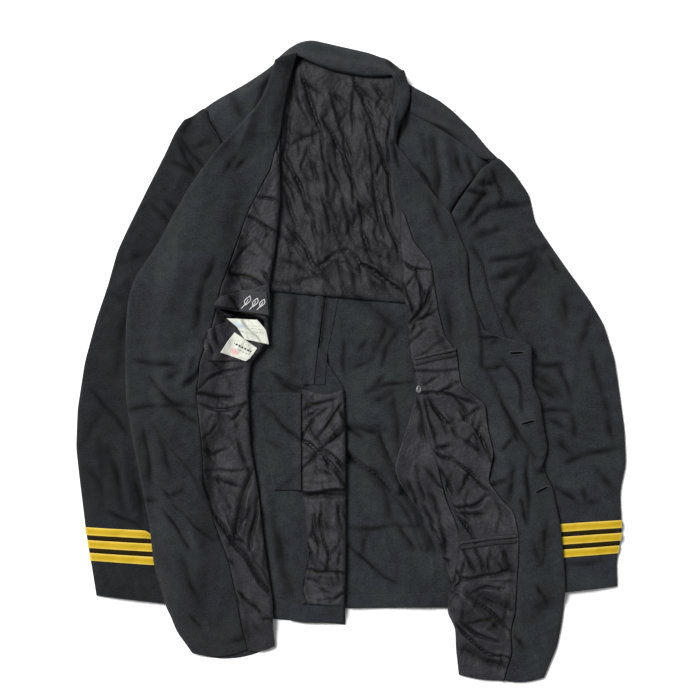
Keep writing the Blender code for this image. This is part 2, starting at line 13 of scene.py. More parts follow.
import bpy
import mathutils
import numpy as np
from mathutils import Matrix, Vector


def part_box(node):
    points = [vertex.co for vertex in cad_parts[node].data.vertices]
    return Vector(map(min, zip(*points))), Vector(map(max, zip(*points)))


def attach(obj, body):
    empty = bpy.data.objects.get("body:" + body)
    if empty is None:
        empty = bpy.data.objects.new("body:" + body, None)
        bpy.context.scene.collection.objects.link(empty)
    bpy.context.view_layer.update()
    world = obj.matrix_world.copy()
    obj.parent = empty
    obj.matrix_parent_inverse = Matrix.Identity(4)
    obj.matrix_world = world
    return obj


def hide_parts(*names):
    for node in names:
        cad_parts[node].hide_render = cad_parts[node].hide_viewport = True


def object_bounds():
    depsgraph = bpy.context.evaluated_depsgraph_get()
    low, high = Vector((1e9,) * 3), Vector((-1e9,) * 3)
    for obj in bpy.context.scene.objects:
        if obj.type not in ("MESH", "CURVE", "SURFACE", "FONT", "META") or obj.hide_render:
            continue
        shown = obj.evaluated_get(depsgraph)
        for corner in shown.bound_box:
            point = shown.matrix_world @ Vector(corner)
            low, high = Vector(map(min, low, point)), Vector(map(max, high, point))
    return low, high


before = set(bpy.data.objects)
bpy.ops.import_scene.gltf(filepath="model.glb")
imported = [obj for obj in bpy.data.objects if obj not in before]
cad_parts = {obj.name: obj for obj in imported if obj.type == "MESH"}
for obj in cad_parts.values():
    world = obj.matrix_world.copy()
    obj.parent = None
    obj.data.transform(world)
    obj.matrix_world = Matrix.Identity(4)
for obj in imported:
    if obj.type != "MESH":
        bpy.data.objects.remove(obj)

CAD_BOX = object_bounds()
MM = 0.001
print("frame:", len(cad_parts), "nodes, box", [tuple(round(x, 3) for x in corner) for corner in CAD_BOX])

# %% [markdown]
# ## Shader maths as Python
# A woven cloth's finish is arithmetic on its coordinates: how far along the thread, how near to a rib, how
# light the nap is. Node links could be written out one by one. Wrapping a socket in a small class lets the same
# arithmetic be read as a formula.

# %% A wire is one output socket, and a sum on wires adds its Math nodes
class Wire:
    def __init__(self, tree, socket=None):
        self.tree, self.socket = tree, socket

    def plug(self, entry, value):
        """Links a wire to an entry, or sets the entry to a plain value."""
        if isinstance(value, Wire):
            self.tree.links.new(value.socket, entry)
        else:
            entry.default_value = value

    def node(self, kind, settings, entries, output=0):
        """Adds a node: its settings first, then the values or wires of its sockets by name or index."""
        made = self.tree.nodes.new(kind)
        for name, value in settings.items():
            setattr(made, name, value)
        for name, value in entries.items():
            self.plug(made.inputs[name], value)
        return Wire(self.tree, made.outputs[output])

    def maths(self, operation, *values):
        return self.node("ShaderNodeMath", {"operation": operation}, dict(enumerate(values)))

    def __add__(self, other): return self.maths("ADD", self, other)
    def __radd__(self, other): return self.maths("ADD", other, self)
    def __sub__(self, other): return self.maths("SUBTRACT", self, other)
    def __rsub__(self, other): return self.maths("SUBTRACT", other, self)
    def __mul__(self, other): return self.maths("MULTIPLY", self, other)
    def __rmul__(self, other): return self.maths("MULTIPLY", other, self)
    def __truediv__(self, other): return self.maths("DIVIDE", self, other)
    def __pow__(self, other): return self.maths("POWER", self, other)
    def __lt__(self, other): return self.maths("LESS_THAN", self, other)

    def sine(self): return self.maths("SINE", self)
    def cell(self): return self.maths("ABSOLUTE", self.maths("FRACT", self) - 0.5)
    def clamped(self): return self.node("ShaderNodeClamp", {}, {0: self})

    def blend(self, first, second):
        """A colour between two, by this wire."""
        return self.node("ShaderNodeMix", {"data_type": "RGBA"}, {0: self, 6: first, 7: second}, 2)


# %% A finish starts from a named material, its surface shader and its coordinates
def new_finish(name, roughness, **constants):
    """A material's wire, its shader and the shader's constants, set on the shader's own sockets."""
    made = bpy.data.materials.new(name)
    made.use_nodes = True
    shader = made.node_tree.nodes["Principled BSDF"]
    shader.inputs["Roughness"].default_value = roughness
    for socket, value in constants.items():
        shader.inputs[socket.replace("_", " ")].default_value = value
    return made, Wire(made.node_tree), shader


def threads(wire):
    """The piece's own UV in millimetres, u across the cloth and v along it, as a vector and as two numbers."""
    uv = wire.node("ShaderNodeUVMap", {"uv_map": "thread"}, {})
    vector = wire.node("ShaderNodeVectorMath", {"operation": "SCALE"}, {0: uv, "Scale": 1.0 / MM})
    split = wire.tree.nodes.new("ShaderNodeSeparateXYZ")
    wire.plug(split.inputs[0], vector)
    return vector, Wire(wire.tree, split.outputs[0]), Wire(wire.tree, split.outputs[1])


def cloudy(wire, vector, size, detail=2.0, rough=0.5, stretch=(1.0, 1.0, 1.0), kind="FBM"):
    """Noise of about the given size in millimetres, stretched along the axes, from 0 to 1."""
    scaled = wire.node("ShaderNodeMapping", {}, {"Vector": vector, "Scale": tuple(s / size for s in stretch)})
    return wire.node("ShaderNodeTexNoise", {"noise_type": kind},
                     {"Vector": scaled, "Scale": 1.0, "Detail": detail, "Roughness": rough})


def wavered(wire, vector, size, far):
    """The vector moved about by a wide noise, so that a pattern on it isn't straight."""
    scaled = wire.node("ShaderNodeVectorMath", {"operation": "SCALE"}, {0: vector, "Scale": 1.0 / size})
    shift = wire.node("ShaderNodeTexNoise", {}, {"Vector": scaled, "Scale": 1.0}, 1)
    return wire.node("ShaderNodeVectorMath", {"operation": "MULTIPLY_ADD"}, {0: shift, 1: (far, far, 0.0), 2: vector})


def place(wire):
    """The point's place on the jacket in millimetres, the same for all pieces."""
    spot = wire.node("ShaderNodeTexCoord", {}, {}, "Object")
    return wire.node("ShaderNodeVectorMath", {"operation": "SCALE"}, {0: spot, "Scale": 1.0 / MM})


def tone(wire, name):
    return wire.node("ShaderNodeAttribute", {"attribute_name": name}, {}, "Fac")


def waves(coordinate, pitch):
    """A sine wave of the given pitch in millimetres, from 0 to 1."""
    return (coordinate * (2.0 * math.pi / pitch)).sine() * 0.5 + 0.5


def bumped(wire, shader, height, deep, strength):
    """A Bump node on the shader's normal: height from 0 to 1 stands deep millimetres."""
    bump = wire.node("ShaderNodeBump", {}, {"Strength": strength, "Distance": deep * MM, "Height": height})
    wire.plug(shader.inputs["Normal"], bump)


# %% [markdown]
# ## Finishes
# The shell is charcoal wool twill: diagonal ribs about a millimetre apart under a short nap, almost without
# shine, a little bluer in one place and greener in another. The lining is a thin viscose satin that wrinkles in
# fine lines, shines softly and carries a lattice of tiny dark pin dots. The cuff bands are flat gold lace braid
# with fine ribs along their length and a brighter thread at both edges. Image textures could show all that, but
# waves and noise in the cloth's own thread coordinates stay sharp at any distance and follow every piece's
# grain.

# %% Wool twill
WOOL_BLUE, WOOL_GREEN = (0.0220, 0.0248, 0.0305, 1), (0.0222, 0.0254, 0.0268, 1)
# The first pair: two tints of the wool. The second: a near-black for painted shade in creases and along raw edges,
# and the pale tone of worn nap.
WOOL_PAINTED_SHADE, WOOL_WORN = (0.0030, 0.0034, 0.0037, 1), (0.030, 0.032, 0.034, 1)
RIB_PITCH = 1.05


def wool_twill(name, brightness=1.0):
    """Rib = a sine across the diagonal of the threads. Its colour is the mean of two tints by a wide noise,
    with shade painted darker in creases and along raw edges, and paler where the nap is worn."""
    made, wire, shader = new_finish(name, 0.92, Specular_IOR_Level=0.08, Sheen_Weight=0.035, Sheen_Roughness=0.5)
    vector, u, v = threads(wire)
    here = place(wire)
    fibres = cloudy(wire, vector, 0.45, 2.0, 0.6)
    rib = waves(u + v + fibres * 0.3, RIB_PITCH)
    nap = cloudy(wire, vector, 1.9, 2.0, 0.7)
    mottle = cloudy(wire, here, 11.0, 3.0, 0.6)
    tint = ((cloudy(wire, here, 46.0, 2.0, 0.5) - 0.36) * 3.6).clamped()
    colour = tint.blend(WOOL_BLUE, WOOL_GREEN)
    cast = cloudy(wire, here, 90.0, 3.0, 0.6)
    shade = (nap - 0.5) * 2.6 + (mottle - 0.5) * 0.8 + (rib - 0.5) * 0.15 + (fibres - 0.5) * 0.8 + (cast - 0.5) * 1.1
    shade = wire.maths("MAXIMUM", shade + 1.0, 0.25)
    colour = wire.node("ShaderNodeHueSaturation", {}, {"Value": shade * brightness, "Color": colour})
    colour = (tone(wire, "worn") * 0.7).blend(colour, WOOL_WORN)
    # Painted shade: the colour is darkened towards near-black in creases and along raw edges.
    colour = tone(wire, "painted_shade").blend(colour, WOOL_PAINTED_SHADE)
    wire.plug(shader.inputs["Base Color"], colour)
    wire.plug(shader.inputs["Roughness"], mottle * 0.12 + 0.84)
    soft_wrinkles = cloudy(wire, wavered(wire, here, 40.0, 20.0), 21.0, 3.0, 0.5)
    bumped(wire, shader, rib * 0.2 + fibres * 0.25 + nap * 0.25 + mottle * 0.5 + soft_wrinkles * 2.0, 1.6, 0.9)
    return made


# %% Satin lining
# The satin runs between a dim and a lit tone: painted sheen.
SATIN_DIM, SATIN_LIT = (0.0070, 0.0071, 0.0085, 1), (0.0275, 0.0275, 0.0330, 1)
# A near-black for the real pin dots, and for painted shade in crumples, creases and along raw edges.
SATIN_DOTS_AND_PAINTED_SHADE = (0.0008, 0.0008, 0.0010, 1)
DOT_PITCH, DOT_RADIUS = 27.0, 0.030


def satin_lining(name, brightness=1.0):
    """Crumples = the thin crests of a ridged noise, stretched along the thread, pressed inwards and painted dark as
    shade. The colour runs between a dim and a lit tone by patchy noise, as painted sheen. A pin dot = the middle
    of each cell of a lattice turned by 45 degrees."""
    made, wire, shader = new_finish(name, 0.6, Specular_IOR_Level=0.16, Sheen_Weight=0.04, Sheen_Roughness=0.4)
    vector, u, v = threads(wire)
    bent = wavered(wire, vector, 30.0, 14.0)
    crest = cloudy(wire, bent, 30.0, 3.0, 0.5, (1.35, 0.8, 1.0), "RIDGED_MULTIFRACTAL")
    crumple = ((crest - 0.72) * 4.0).clamped()
    fine = cloudy(wire, wavered(wire, vector, 12.0, 7.0), 6.0, 3.0, 0.6, (1.15, 0.8, 1.0))
    patch = cloudy(wire, bent, 18.0, 2.0, 0.5, (1.15, 0.8, 1.0))
    grain = cloudy(wire, vector, 2.1, 2.0, 0.7)
    dim, lit = (tuple(brightness * part for part in tint[:3]) + (1,) for tint in (SATIN_DIM, SATIN_LIT))
    # Painted sheen: patches of noise lighten the satin as its shine would.
    painted_sheen = (patch - 0.5) * 0.7 + (fine - 0.5) * 0.7 + (grain - 0.5) * 1.5 + 0.55
    colour = painted_sheen.clamped().blend(dim, lit)
    first, second = ((u + v) / DOT_PITCH).cell(), ((u - v) / DOT_PITCH).cell()
    dot = (first * first + second * second) < DOT_RADIUS ** 2
    colour = dot.blend(colour, SATIN_DOTS_AND_PAINTED_SHADE)
    # Painted shade: darker in the crumples, in the creases and along raw edges.
    colour = (crumple * 0.8).blend(colour, SATIN_DOTS_AND_PAINTED_SHADE)
    colour = tone(wire, "painted_shade").blend(colour, SATIN_DOTS_AND_PAINTED_SHADE)
    wire.plug(shader.inputs["Base Color"], colour)
    wire.plug(shader.inputs["Roughness"], fine * 0.16 + 0.50)
    bumped(wire, shader, patch * 1.1 - crumple * 1.2 + fine * 0.8 + grain * 0.15, 1.8, 0.9)
    return made


# %% Gold lace braid, woven tag, printed labels, buttons and thread
GOLD_DIM, GOLD_LIT, GOLD_EDGE = (0.33, 0.205, 0.004, 1), (0.49, 0.325, 0.008, 1), (0.60, 0.43, 0.060, 1)


def gold_braid(name):
    """Ribs = a sine across the band. The selvedge = the last half millimetre at both sides of the band, from
    its own edge attribute."""
    made, wire, shader = new_finish(name, 0.5, Specular_IOR_Level=0.10, Sheen_Weight=0.02, Sheen_Roughness=0.4)
    vector, u, v = threads(wire)
    grain = cloudy(wire, vector, 0.9, 2.0, 0.6, (0.35, 1.0, 1.0))
    ribs, picks = waves(v, 1.3), waves(u, 0.7)
    colour = (ribs * 0.35 + grain * 0.65).blend(GOLD_DIM, GOLD_LIT)
    colour = tone(wire, "worn").blend(colour, GOLD_EDGE)
    wire.plug(shader.inputs["Base Color"], colour)
    wire.plug(shader.inputs["Roughness"], grain * 0.2 + 0.42)
    bumped(wire, shader, ribs * 0.7 + picks * 0.3 + grain * 0.4, 0.22, 0.7)
    return made


def woven_tag(name):
    """Black satin ground with fine cross threads, which catch a little light."""
    made, wire, shader = new_finish(name, 0.6, Specular_IOR_Level=0.35, Sheen_Weight=0.1)
    vector, _, v = threads(wire)
    picks = waves(v, 0.6)
    slub = cloudy(wire, vector, 1.2, 2.0, 0.5, (0.3, 1.0, 1.0))
    wire.plug(shader.inputs["Base Color"],
              (picks * 0.4 + slub * 0.6).blend((0.006, 0.006, 0.008, 1), (0.030, 0.031, 0.036, 1)))
    wire.plug(shader.inputs["Roughness"], slub * 0.2 + 0.5)
    bumped(wire, shader, picks + slub, 0.2, 0.6)
    return made


DASH_PITCH = 4.4
PAPER_DIM, PAPER_LIT, PAPER_PAINTED_SHADE = (0.40, 0.41, 0.35, 1), (0.66, 0.67, 0.60, 1), (0.12, 0.12, 0.10, 1)


def printed_label(name, dashes, washes):
    """Pale cotton tape, in millimetres from the label's middle.
    A row of plain dashes of print: (u, v, half width, half height, colour).
    A wash of print is a soft patch: (u, v, width, height, colour, strength)."""
    made, wire, shader = new_finish(name, 0.8, Specular_IOR_Level=0.2)
    vector, u, v = threads(wire)
    weave = ((u * 9.0).sine() * (v * 9.0).sine()) * 0.5 + 0.5
    soil = cloudy(wire, vector, 6.0, 3.0, 0.6)
    colour = soil.blend(PAPER_DIM, PAPER_LIT)
    blot = cloudy(wire, vector, 1.6, 2.0, 0.6)
    for across, along, wide, high, ink in dashes:
        beside, level = wire.maths("ABSOLUTE", u - across), wire.maths("ABSOLUTE", v - along + (blot - 0.5) * 0.8)
        inside = (beside < wide) * (level < high) * (((u + blot * 1.2) / DASH_PITCH).cell() < 0.34)
        colour = inside.blend(colour, ink)
    for across, along, wide, high, ink, strength in washes:
        far = ((u - across) / wide) ** 2.0 + ((v - along) / high) ** 2.0
        colour = ((1.0 - far + (blot - 0.5) * 1.6).clamped() * strength).blend(colour, ink)
    # Painted shade: darker in the label's creases and along its raw edges.
    colour = tone(wire, "painted_shade").blend(colour, PAPER_PAINTED_SHADE)
    wire.plug(shader.inputs["Base Color"], colour)
    wire.plug(shader.inputs["Roughness"], soil * 0.1 + 0.75)
    bumped(wire, shader, weave * 0.3 + soil, 0.2, 0.6)
    return made


def moulded_button(name):
    """Dark grey polyester with faint marbling and a dull worn face."""
    made, wire, shader = new_finish(name, 0.3, Specular_IOR_Level=0.5, Coat_Weight=0.25)
    here = place(wire)
    marble = cloudy(wire, here, 3.0, 3.0, 0.6)
    colour = marble.blend((0.16, 0.16, 0.16, 1), (0.34, 0.34, 0.34, 1))
    # Painted shade: the holes are darkened to near-black.
    wire.plug(shader.inputs["Base Color"], tone(wire, "painted_shade").blend(colour, (0.006, 0.006, 0.006, 1)))
    wire.plug(shader.inputs["Roughness"], marble * 0.2 + 0.25)
    bumped(wire, shader, marble, 0.05, 0.5)
    return made


def sewing_thread(name, light, dark, sheen=0.2):
    """Twisted thread: a fine noise between two tones."""
    made, wire, shader = new_finish(name, 0.7, Specular_IOR_Level=sheen, Sheen_Weight=sheen)
    twist = cloudy(wire, place(wire), 0.5, 2.0, 0.6)
    wire.plug(shader.inputs["Base Color"], twist.blend(dark, light))
    bumped(wire, shader, twist, 0.1, 0.6)
    return made


# %% Make the finishes
BLUE_INK, RED_INK = (0.34, 0.44, 0.60, 1), (0.62, 0.20, 0.22, 1)
GREY_INK, FAINT_INK = (0.035, 0.035, 0.034, 1), (0.22, 0.22, 0.20, 1)
FINISHES = {
    "wool": wool_twill("wool_twill"),
    # Darker copies of the wool and the satin, for single pieces, are painted shade.
    "wool_painted_darker": wool_twill("wool_painted_darker", 0.60),
    "wool_facing_painted_darker": wool_twill("wool_facing_painted_darker", 0.82),
    "satin": satin_lining("satin_lining", 1.07),
    "satin_yoke_painted_darker": satin_lining("satin_yoke_painted_darker", 0.80),
    # Painted shadow and a painted brown reflection of the braid, for the strips between the braids.
    "gap": sewing_thread("braid_gap_painted_shade", (0.024, 0.017, 0.006, 1), (0.010, 0.007, 0.003, 1), sheen=0.0),
    "braid": gold_braid("gold_braid"),
    "name_tag": woven_tag("woven_tag"),
    "label_upper": printed_label(
        "printed_label_upper",
        dashes=[(6, 6, 9, 0.45, FAINT_INK), (7, 1, 9, 0.45, FAINT_INK), (8, -4, 7, 0.45, FAINT_INK)],
        washes=[(-13, 5, 9, 8, BLUE_INK, 0.6)]),
    "label_lower": printed_label(
        "printed_label_lower",
        dashes=[(2, 3.0, 13, 1.25, GREY_INK), (6, -2.0, 9, 0.6, FAINT_INK)],
        washes=[(-5, -7, 8, 4.5, RED_INK, 0.65)]),
    "button": moulded_button("moulded_button"),
    "thread": sewing_thread("dark_thread", (0.030, 0.032, 0.034, 1), (0.008, 0.009, 0.010, 1)),
    "pale_thread": sewing_thread("pale_thread", (0.70, 0.70, 0.68, 1), (0.42, 0.42, 0.41, 1)),
    # A near-black for painted shadow, in the buttonhole slits and in the pocket's mouth.
    "slit": sewing_thread("slit_shadow", (0.003, 0.003, 0.003, 1), (0.001, 0.001, 0.001, 1), sheen=0.0),
}
print("finishes:", ", ".join(FINISHES))

# %% [markdown]
# ## The cut of each piece
# The frame holds one closed wall for every sewn piece, and the edge of its upper side is the outline that the
# maker cut. The outline could be drawn again by hand. Reading it from the frame keeps each sheet on its own
# solid. A sheet is then a surface between its four sides (a Coons patch), whose rows and columns run along the
# cloth's threads.

# %% Read a node's outline
def outline(node):
    """The edge of the upper side of a node's wall, in millimetres, counterclockwise: the edges that only one
    upward face has, end to end."""
    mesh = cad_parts[node].data
    mesh.calc_loop_triangles()
    points, corners = np.empty(len(mesh.vertices) * 3), np.empty(len(mesh.loop_triangles) * 3, dtype=int)
    mesh.vertices.foreach_get("co", points)
    mesh.loop_triangles.foreach_get("vertices", corners)
    spots, home = np.unique(np.round(points.reshape(-1, 3) / MM, 2), axis=0, return_inverse=True)
    triangles = home.ravel()[corners].reshape(-1, 3)
    a, b, c = (spots[triangles[:, k]] for k in range(3))
    normal = np.cross(b - a, c - a)
    upward = triangles[normal[:, 2] > 0.3 * np.linalg.norm(normal, axis=1)]
    edges = np.concatenate((upward[:, (0, 1)], upward[:, (1, 2)], upward[:, (2, 0)]))
    code, back = edges[:, 0] * len(spots) + edges[:, 1], edges[:, 1] * len(spots) + edges[:, 0]
    following = dict(edges[~np.isin(code, back)].tolist())
    loops = []
    while following:
        start, after = following.popitem()
        loop = [start]
        while after in following:
            loop.append(after)
            after = following.pop(after)
        loops.append(loop)
    return spots[max(loops, key=len)][:, :2]


def length_along(points):
    return np.concatenate(([0.0], np.cumsum(np.hypot(*np.diff(points, axis=0).T))))


# %% Sides and surface of a sheet
CORNER_WAYS = ((-1, 1), (-1, -1), (1, -1), (1, 1))


def corner_of(loop, mark):
    """The point of an outline that lies furthest in a direction, or nearest to a place if its numbers are large."""
    mark = np.array(mark, dtype=float)
    if np.abs(mark).max() > 2.0:
        return int(np.argmin(((loop - mark) ** 2).sum(1)))
    return int(np.argmax(loop @ mark))


def softened(points, fractions, soft):
    """Points at the given fractions of a side's length, after a running mean of Gauss's weights has rounded
    its corners. Both ends stay where they are."""
    run = length_along(points)
    count = max(int(run[-1]), 8)
    fine = np.stack([np.interp(np.linspace(0.0, run[-1], count + 1), run, points[:, k]) for k in range(2)], axis=1)
    reach = int(min(3 * soft, count // 2))
    if reach > 0:
        weights = np.exp(-0.5 * (np.arange(-reach, reach + 1) / soft) ** 2)
        mirrored = np.concatenate((2 * fine[:1] - fine[reach:0:-1], fine, 2 * fine[-1:] - fine[-2:-reach - 2:-1]))
        shares = weights / weights.sum()
        fine = np.stack([np.convolve(mirrored[:, k], shares, mode="valid") for k in range(2)], axis=1)
    run = length_along(fine)
    return np.stack([np.interp(fractions * run[-1], run, fine[:, k]) for k in range(2)], axis=1)


def spacing(length, cell):
    """Fractions of a side: even steps of about one cell, closer beside both ends, where the cloth's edge is
    rounded. The count is odd."""
    near = np.cumsum(np.array((0.0, 0.12, 0.2, 0.3, 0.45, 0.65, 0.85))) * cell / length
    if near[-1] > 0.3:
        near *= 0.3 / near[-1]
    middle = 2 * max(1, int(round((1.0 - 2.0 * near[-1]) * length / cell / 2.0)))
    return np.concatenate((near, np.linspace(near[-1], 1.0 - near[-1], middle + 1)[1:-1], 1.0 - near[::-1]))


def surface_between(node, cell, soft, corners=CORNER_WAYS):
    """A Coons patch: the mean of left and right plus the mean of top and bottom, less the mean of the four
    corners."""
    loop = outline(node)
    at = [corner_of(loop, mark) for mark in corners]
    turned = np.roll(loop, -at[0], axis=0)
    marks = [(k - at[0]) % len(loop) for k in at] + [len(loop)]
    closed = np.concatenate((turned, turned[:1]))
    left, bottom, right, top = (closed[marks[k]:marks[k + 1] + 1] for k in range(4))
    right, top = right[::-1], top[::-1]
    high = 0.5 * (length_along(left)[-1] + length_along(right)[-1])
    wide = max(0.5 * (length_along(top)[-1] + length_along(bottom)[-1]),
               0.6 * np.hypot(*(left - left.mean(0)).T).min() + 1.0)
    middle = np.hypot(*(softened(left, np.array((0.5,)), 1)[0] - softened(right, np.array((0.5,)), 1)[0]))
    wide = max(wide, middle)
    s, t = spacing(high, cell), spacing(wide, cell)
    left, right = softened(left, s, soft)[:, None], softened(right, s, soft)[:, None]
    top, bottom = softened(top, t, soft)[None], softened(bottom, t, soft)[None]
    s, t = s[:, None, None], t[None, :, None]
    plan = (1 - t) * left + t * right + (1 - s) * top + s * bottom
    plan -= ((1 - s) * (1 - t) * left[0, 0] + (1 - s) * t * right[0, 0]
             + s * (1 - t) * left[-1, 0] + s * t * right[-1, 0])
    return plan, s[..., 0] * np.ones(t.shape[1]), t[..., 0] * np.ones(s.shape)[..., 0]


# %% [markdown]
# ## Folds and creases
# Wool that was folded away keeps soft troughs and ridges, and thin satin keeps many short sharp ones. A noise
# would crease the cloth everywhere alike, so the folds that can be told apart are drawn one by one, each with
# its own ends, bow, widths and height. The smallest wrinkles of the satin, too many to draw, are scattered by a
# seeded rule.

# %% One fold, from a row of a table
DARK_TROUGH, DARK_RIDGE = 2.6, 4.0


def creased(plan, rows, seed, least):
    """Height and painted shade that the folds add. Along a fold's bowed line the height is a bell curve,
    with one width on its left and one on its right. A trough has raised shoulders and shade painted along it,
    and a ridge that is steep on one side has a painted dark foot there. Both ends fade, and the depth wanders
    along the line. No width is below the least that the grid can show. A trough of DARK_TROUGH or a ridge of
    DARK_RIDGE millimetres is painted fully dark."""
    x, y = plan[..., 0], plan[..., 1]
    height, shade = np.zeros(x.shape), np.zeros(x.shape)
    for number, (x0, y0, x1, y1, bow, left, right, rise) in enumerate(rows):
        left, right = max(left, least), max(right, least)
        reach = 4.0 * max(left, right) + abs(bow)
        near = ((x > min(x0, x1) - reach) & (x < max(x0, x1) + reach)
                & (y > min(y0, y1) - reach) & (y < max(y0, y1) + reach))
        if not near.any():
            continue
        long = math.hypot(x1 - x0, y1 - y0)
        way = ((x1 - x0) / long, (y1 - y0) / long)
        along = (x[near] - x0) * way[0] + (y[near] - y0) * way[1]
        aside = (y[near] - y0) * way[0] - (x[near] - x0) * way[1]
        u = np.clip(along / long, 0.0, 1.0)
        phase = 1.7 * number + seed
        wander = 0.03 * long * np.sin(5.0 * u + phase) * u * (1 - u) * 4.0
        aside = aside - bow * 4.0 * u * (1.0 - u) - np.clip(wander, -2.5, 2.5)
        beyond = along - u * long
        wide = np.where(aside > 0.0, left, right)
        ends = np.exp(-(beyond / (0.8 * min(left, right) + 1.5)) ** 2)
        fading = 0.45 + 0.55 * np.sin(math.pi * (0.08 + 0.84 * u)) ** 0.8
        run = ends * fading * (1.0 + 0.22 * np.sin(9.0 * u + 2.3 * phase))
        away = np.sqrt(aside ** 2 + (0.5 * least) ** 2) - 0.5 * least
        bell = 0.5 * np.exp(-(aside / wide) ** 2) + 0.5 * np.exp(-away / (0.55 * wide))
        if rise < 0:
            height[near] += run * rise * (bell - 0.30 * np.exp(-(aside / (2.4 * wide)) ** 2))
            narrow = min(1.0, 4.0 / max(left, right))
            line = np.exp(-(aside / max(min(0.5 * min(left, right) + 0.6, 2.2), least)) ** 2)
            dark = run * (0.65 * line * narrow + 0.5 * bell) * min(1.0, -rise / DARK_TROUGH)
            shade[near] = np.maximum(shade[near], np.minimum(1.0, dark))
        else:
            height[near] += run * rise * bell
            if min(left, right) < 0.5 * max(left, right):
                steep = 1.0 if left < right else -1.0
                foot = np.exp(-((aside * steep - 1.3 * min(left, right)) / max(1.8, least)) ** 2)
                shade[near] = np.maximum(shade[near], run * foot * min(1.0, rise / DARK_RIDGE))
    return height, shade


def scattered(seed, count, box, heading, turn, longs, widths, depths):
    """Rows for short creases scattered over a box, in about one heading in degrees."""
    rng = np.random.default_rng(seed)
    x, y = rng.uniform(box[0], box[2], count), rng.uniform(box[1], box[3], count)
    angle = np.radians(rng.normal(heading, turn, count))
    long, wide, deep = (rng.uniform(low, high, count) for low, high in (longs, widths, depths))
    deep = deep * np.where(rng.random(count) < 0.62, -1.0, 0.8)
    lean = rng.uniform(0.6, 1.8, count)
    bow = rng.normal(0.0, 0.06, count) * long
    far_x, far_y = x + long * np.cos(angle), y + long * np.sin(angle)
    return np.stack((x, y, far_x, far_y, bow, wide * lean, wide, deep), axis=1).tolist()


def swell(plan, seed, size, height):
    """Slow waves of a cloth that isn't quite flat: the mean of twelve sine waves in seeded directions."""
    rng = np.random.default_rng(seed)
    angle, phase = rng.uniform(0, 2 * math.pi, 12), rng.uniform(0, 2 * math.pi, 12)
    long = size * rng.uniform(0.6, 1.8, 12)
    sines = [np.sin((plan[..., 0] * math.cos(a) + plan[..., 1] * math.sin(a)) * 2 * math.pi / l + p)
             for a, p, l in zip(angle, phase, long)]
    slow = height * np.mean(sines, axis=0) * 2.4
    return slow if size < 30.0 else slow + swell(plan, seed + 100, size * 0.42, height * 0.45)


# %% [markdown]
# ## The table of folds
# Every row is one fold: its two ends, its bow to the left, its width on the left and on the right, and its
# height, all in millimetres. A negative height is a trough. Such a table is slow to write, but each line of it
# can be moved by itself, as a hand would smooth one crease of the cloth.

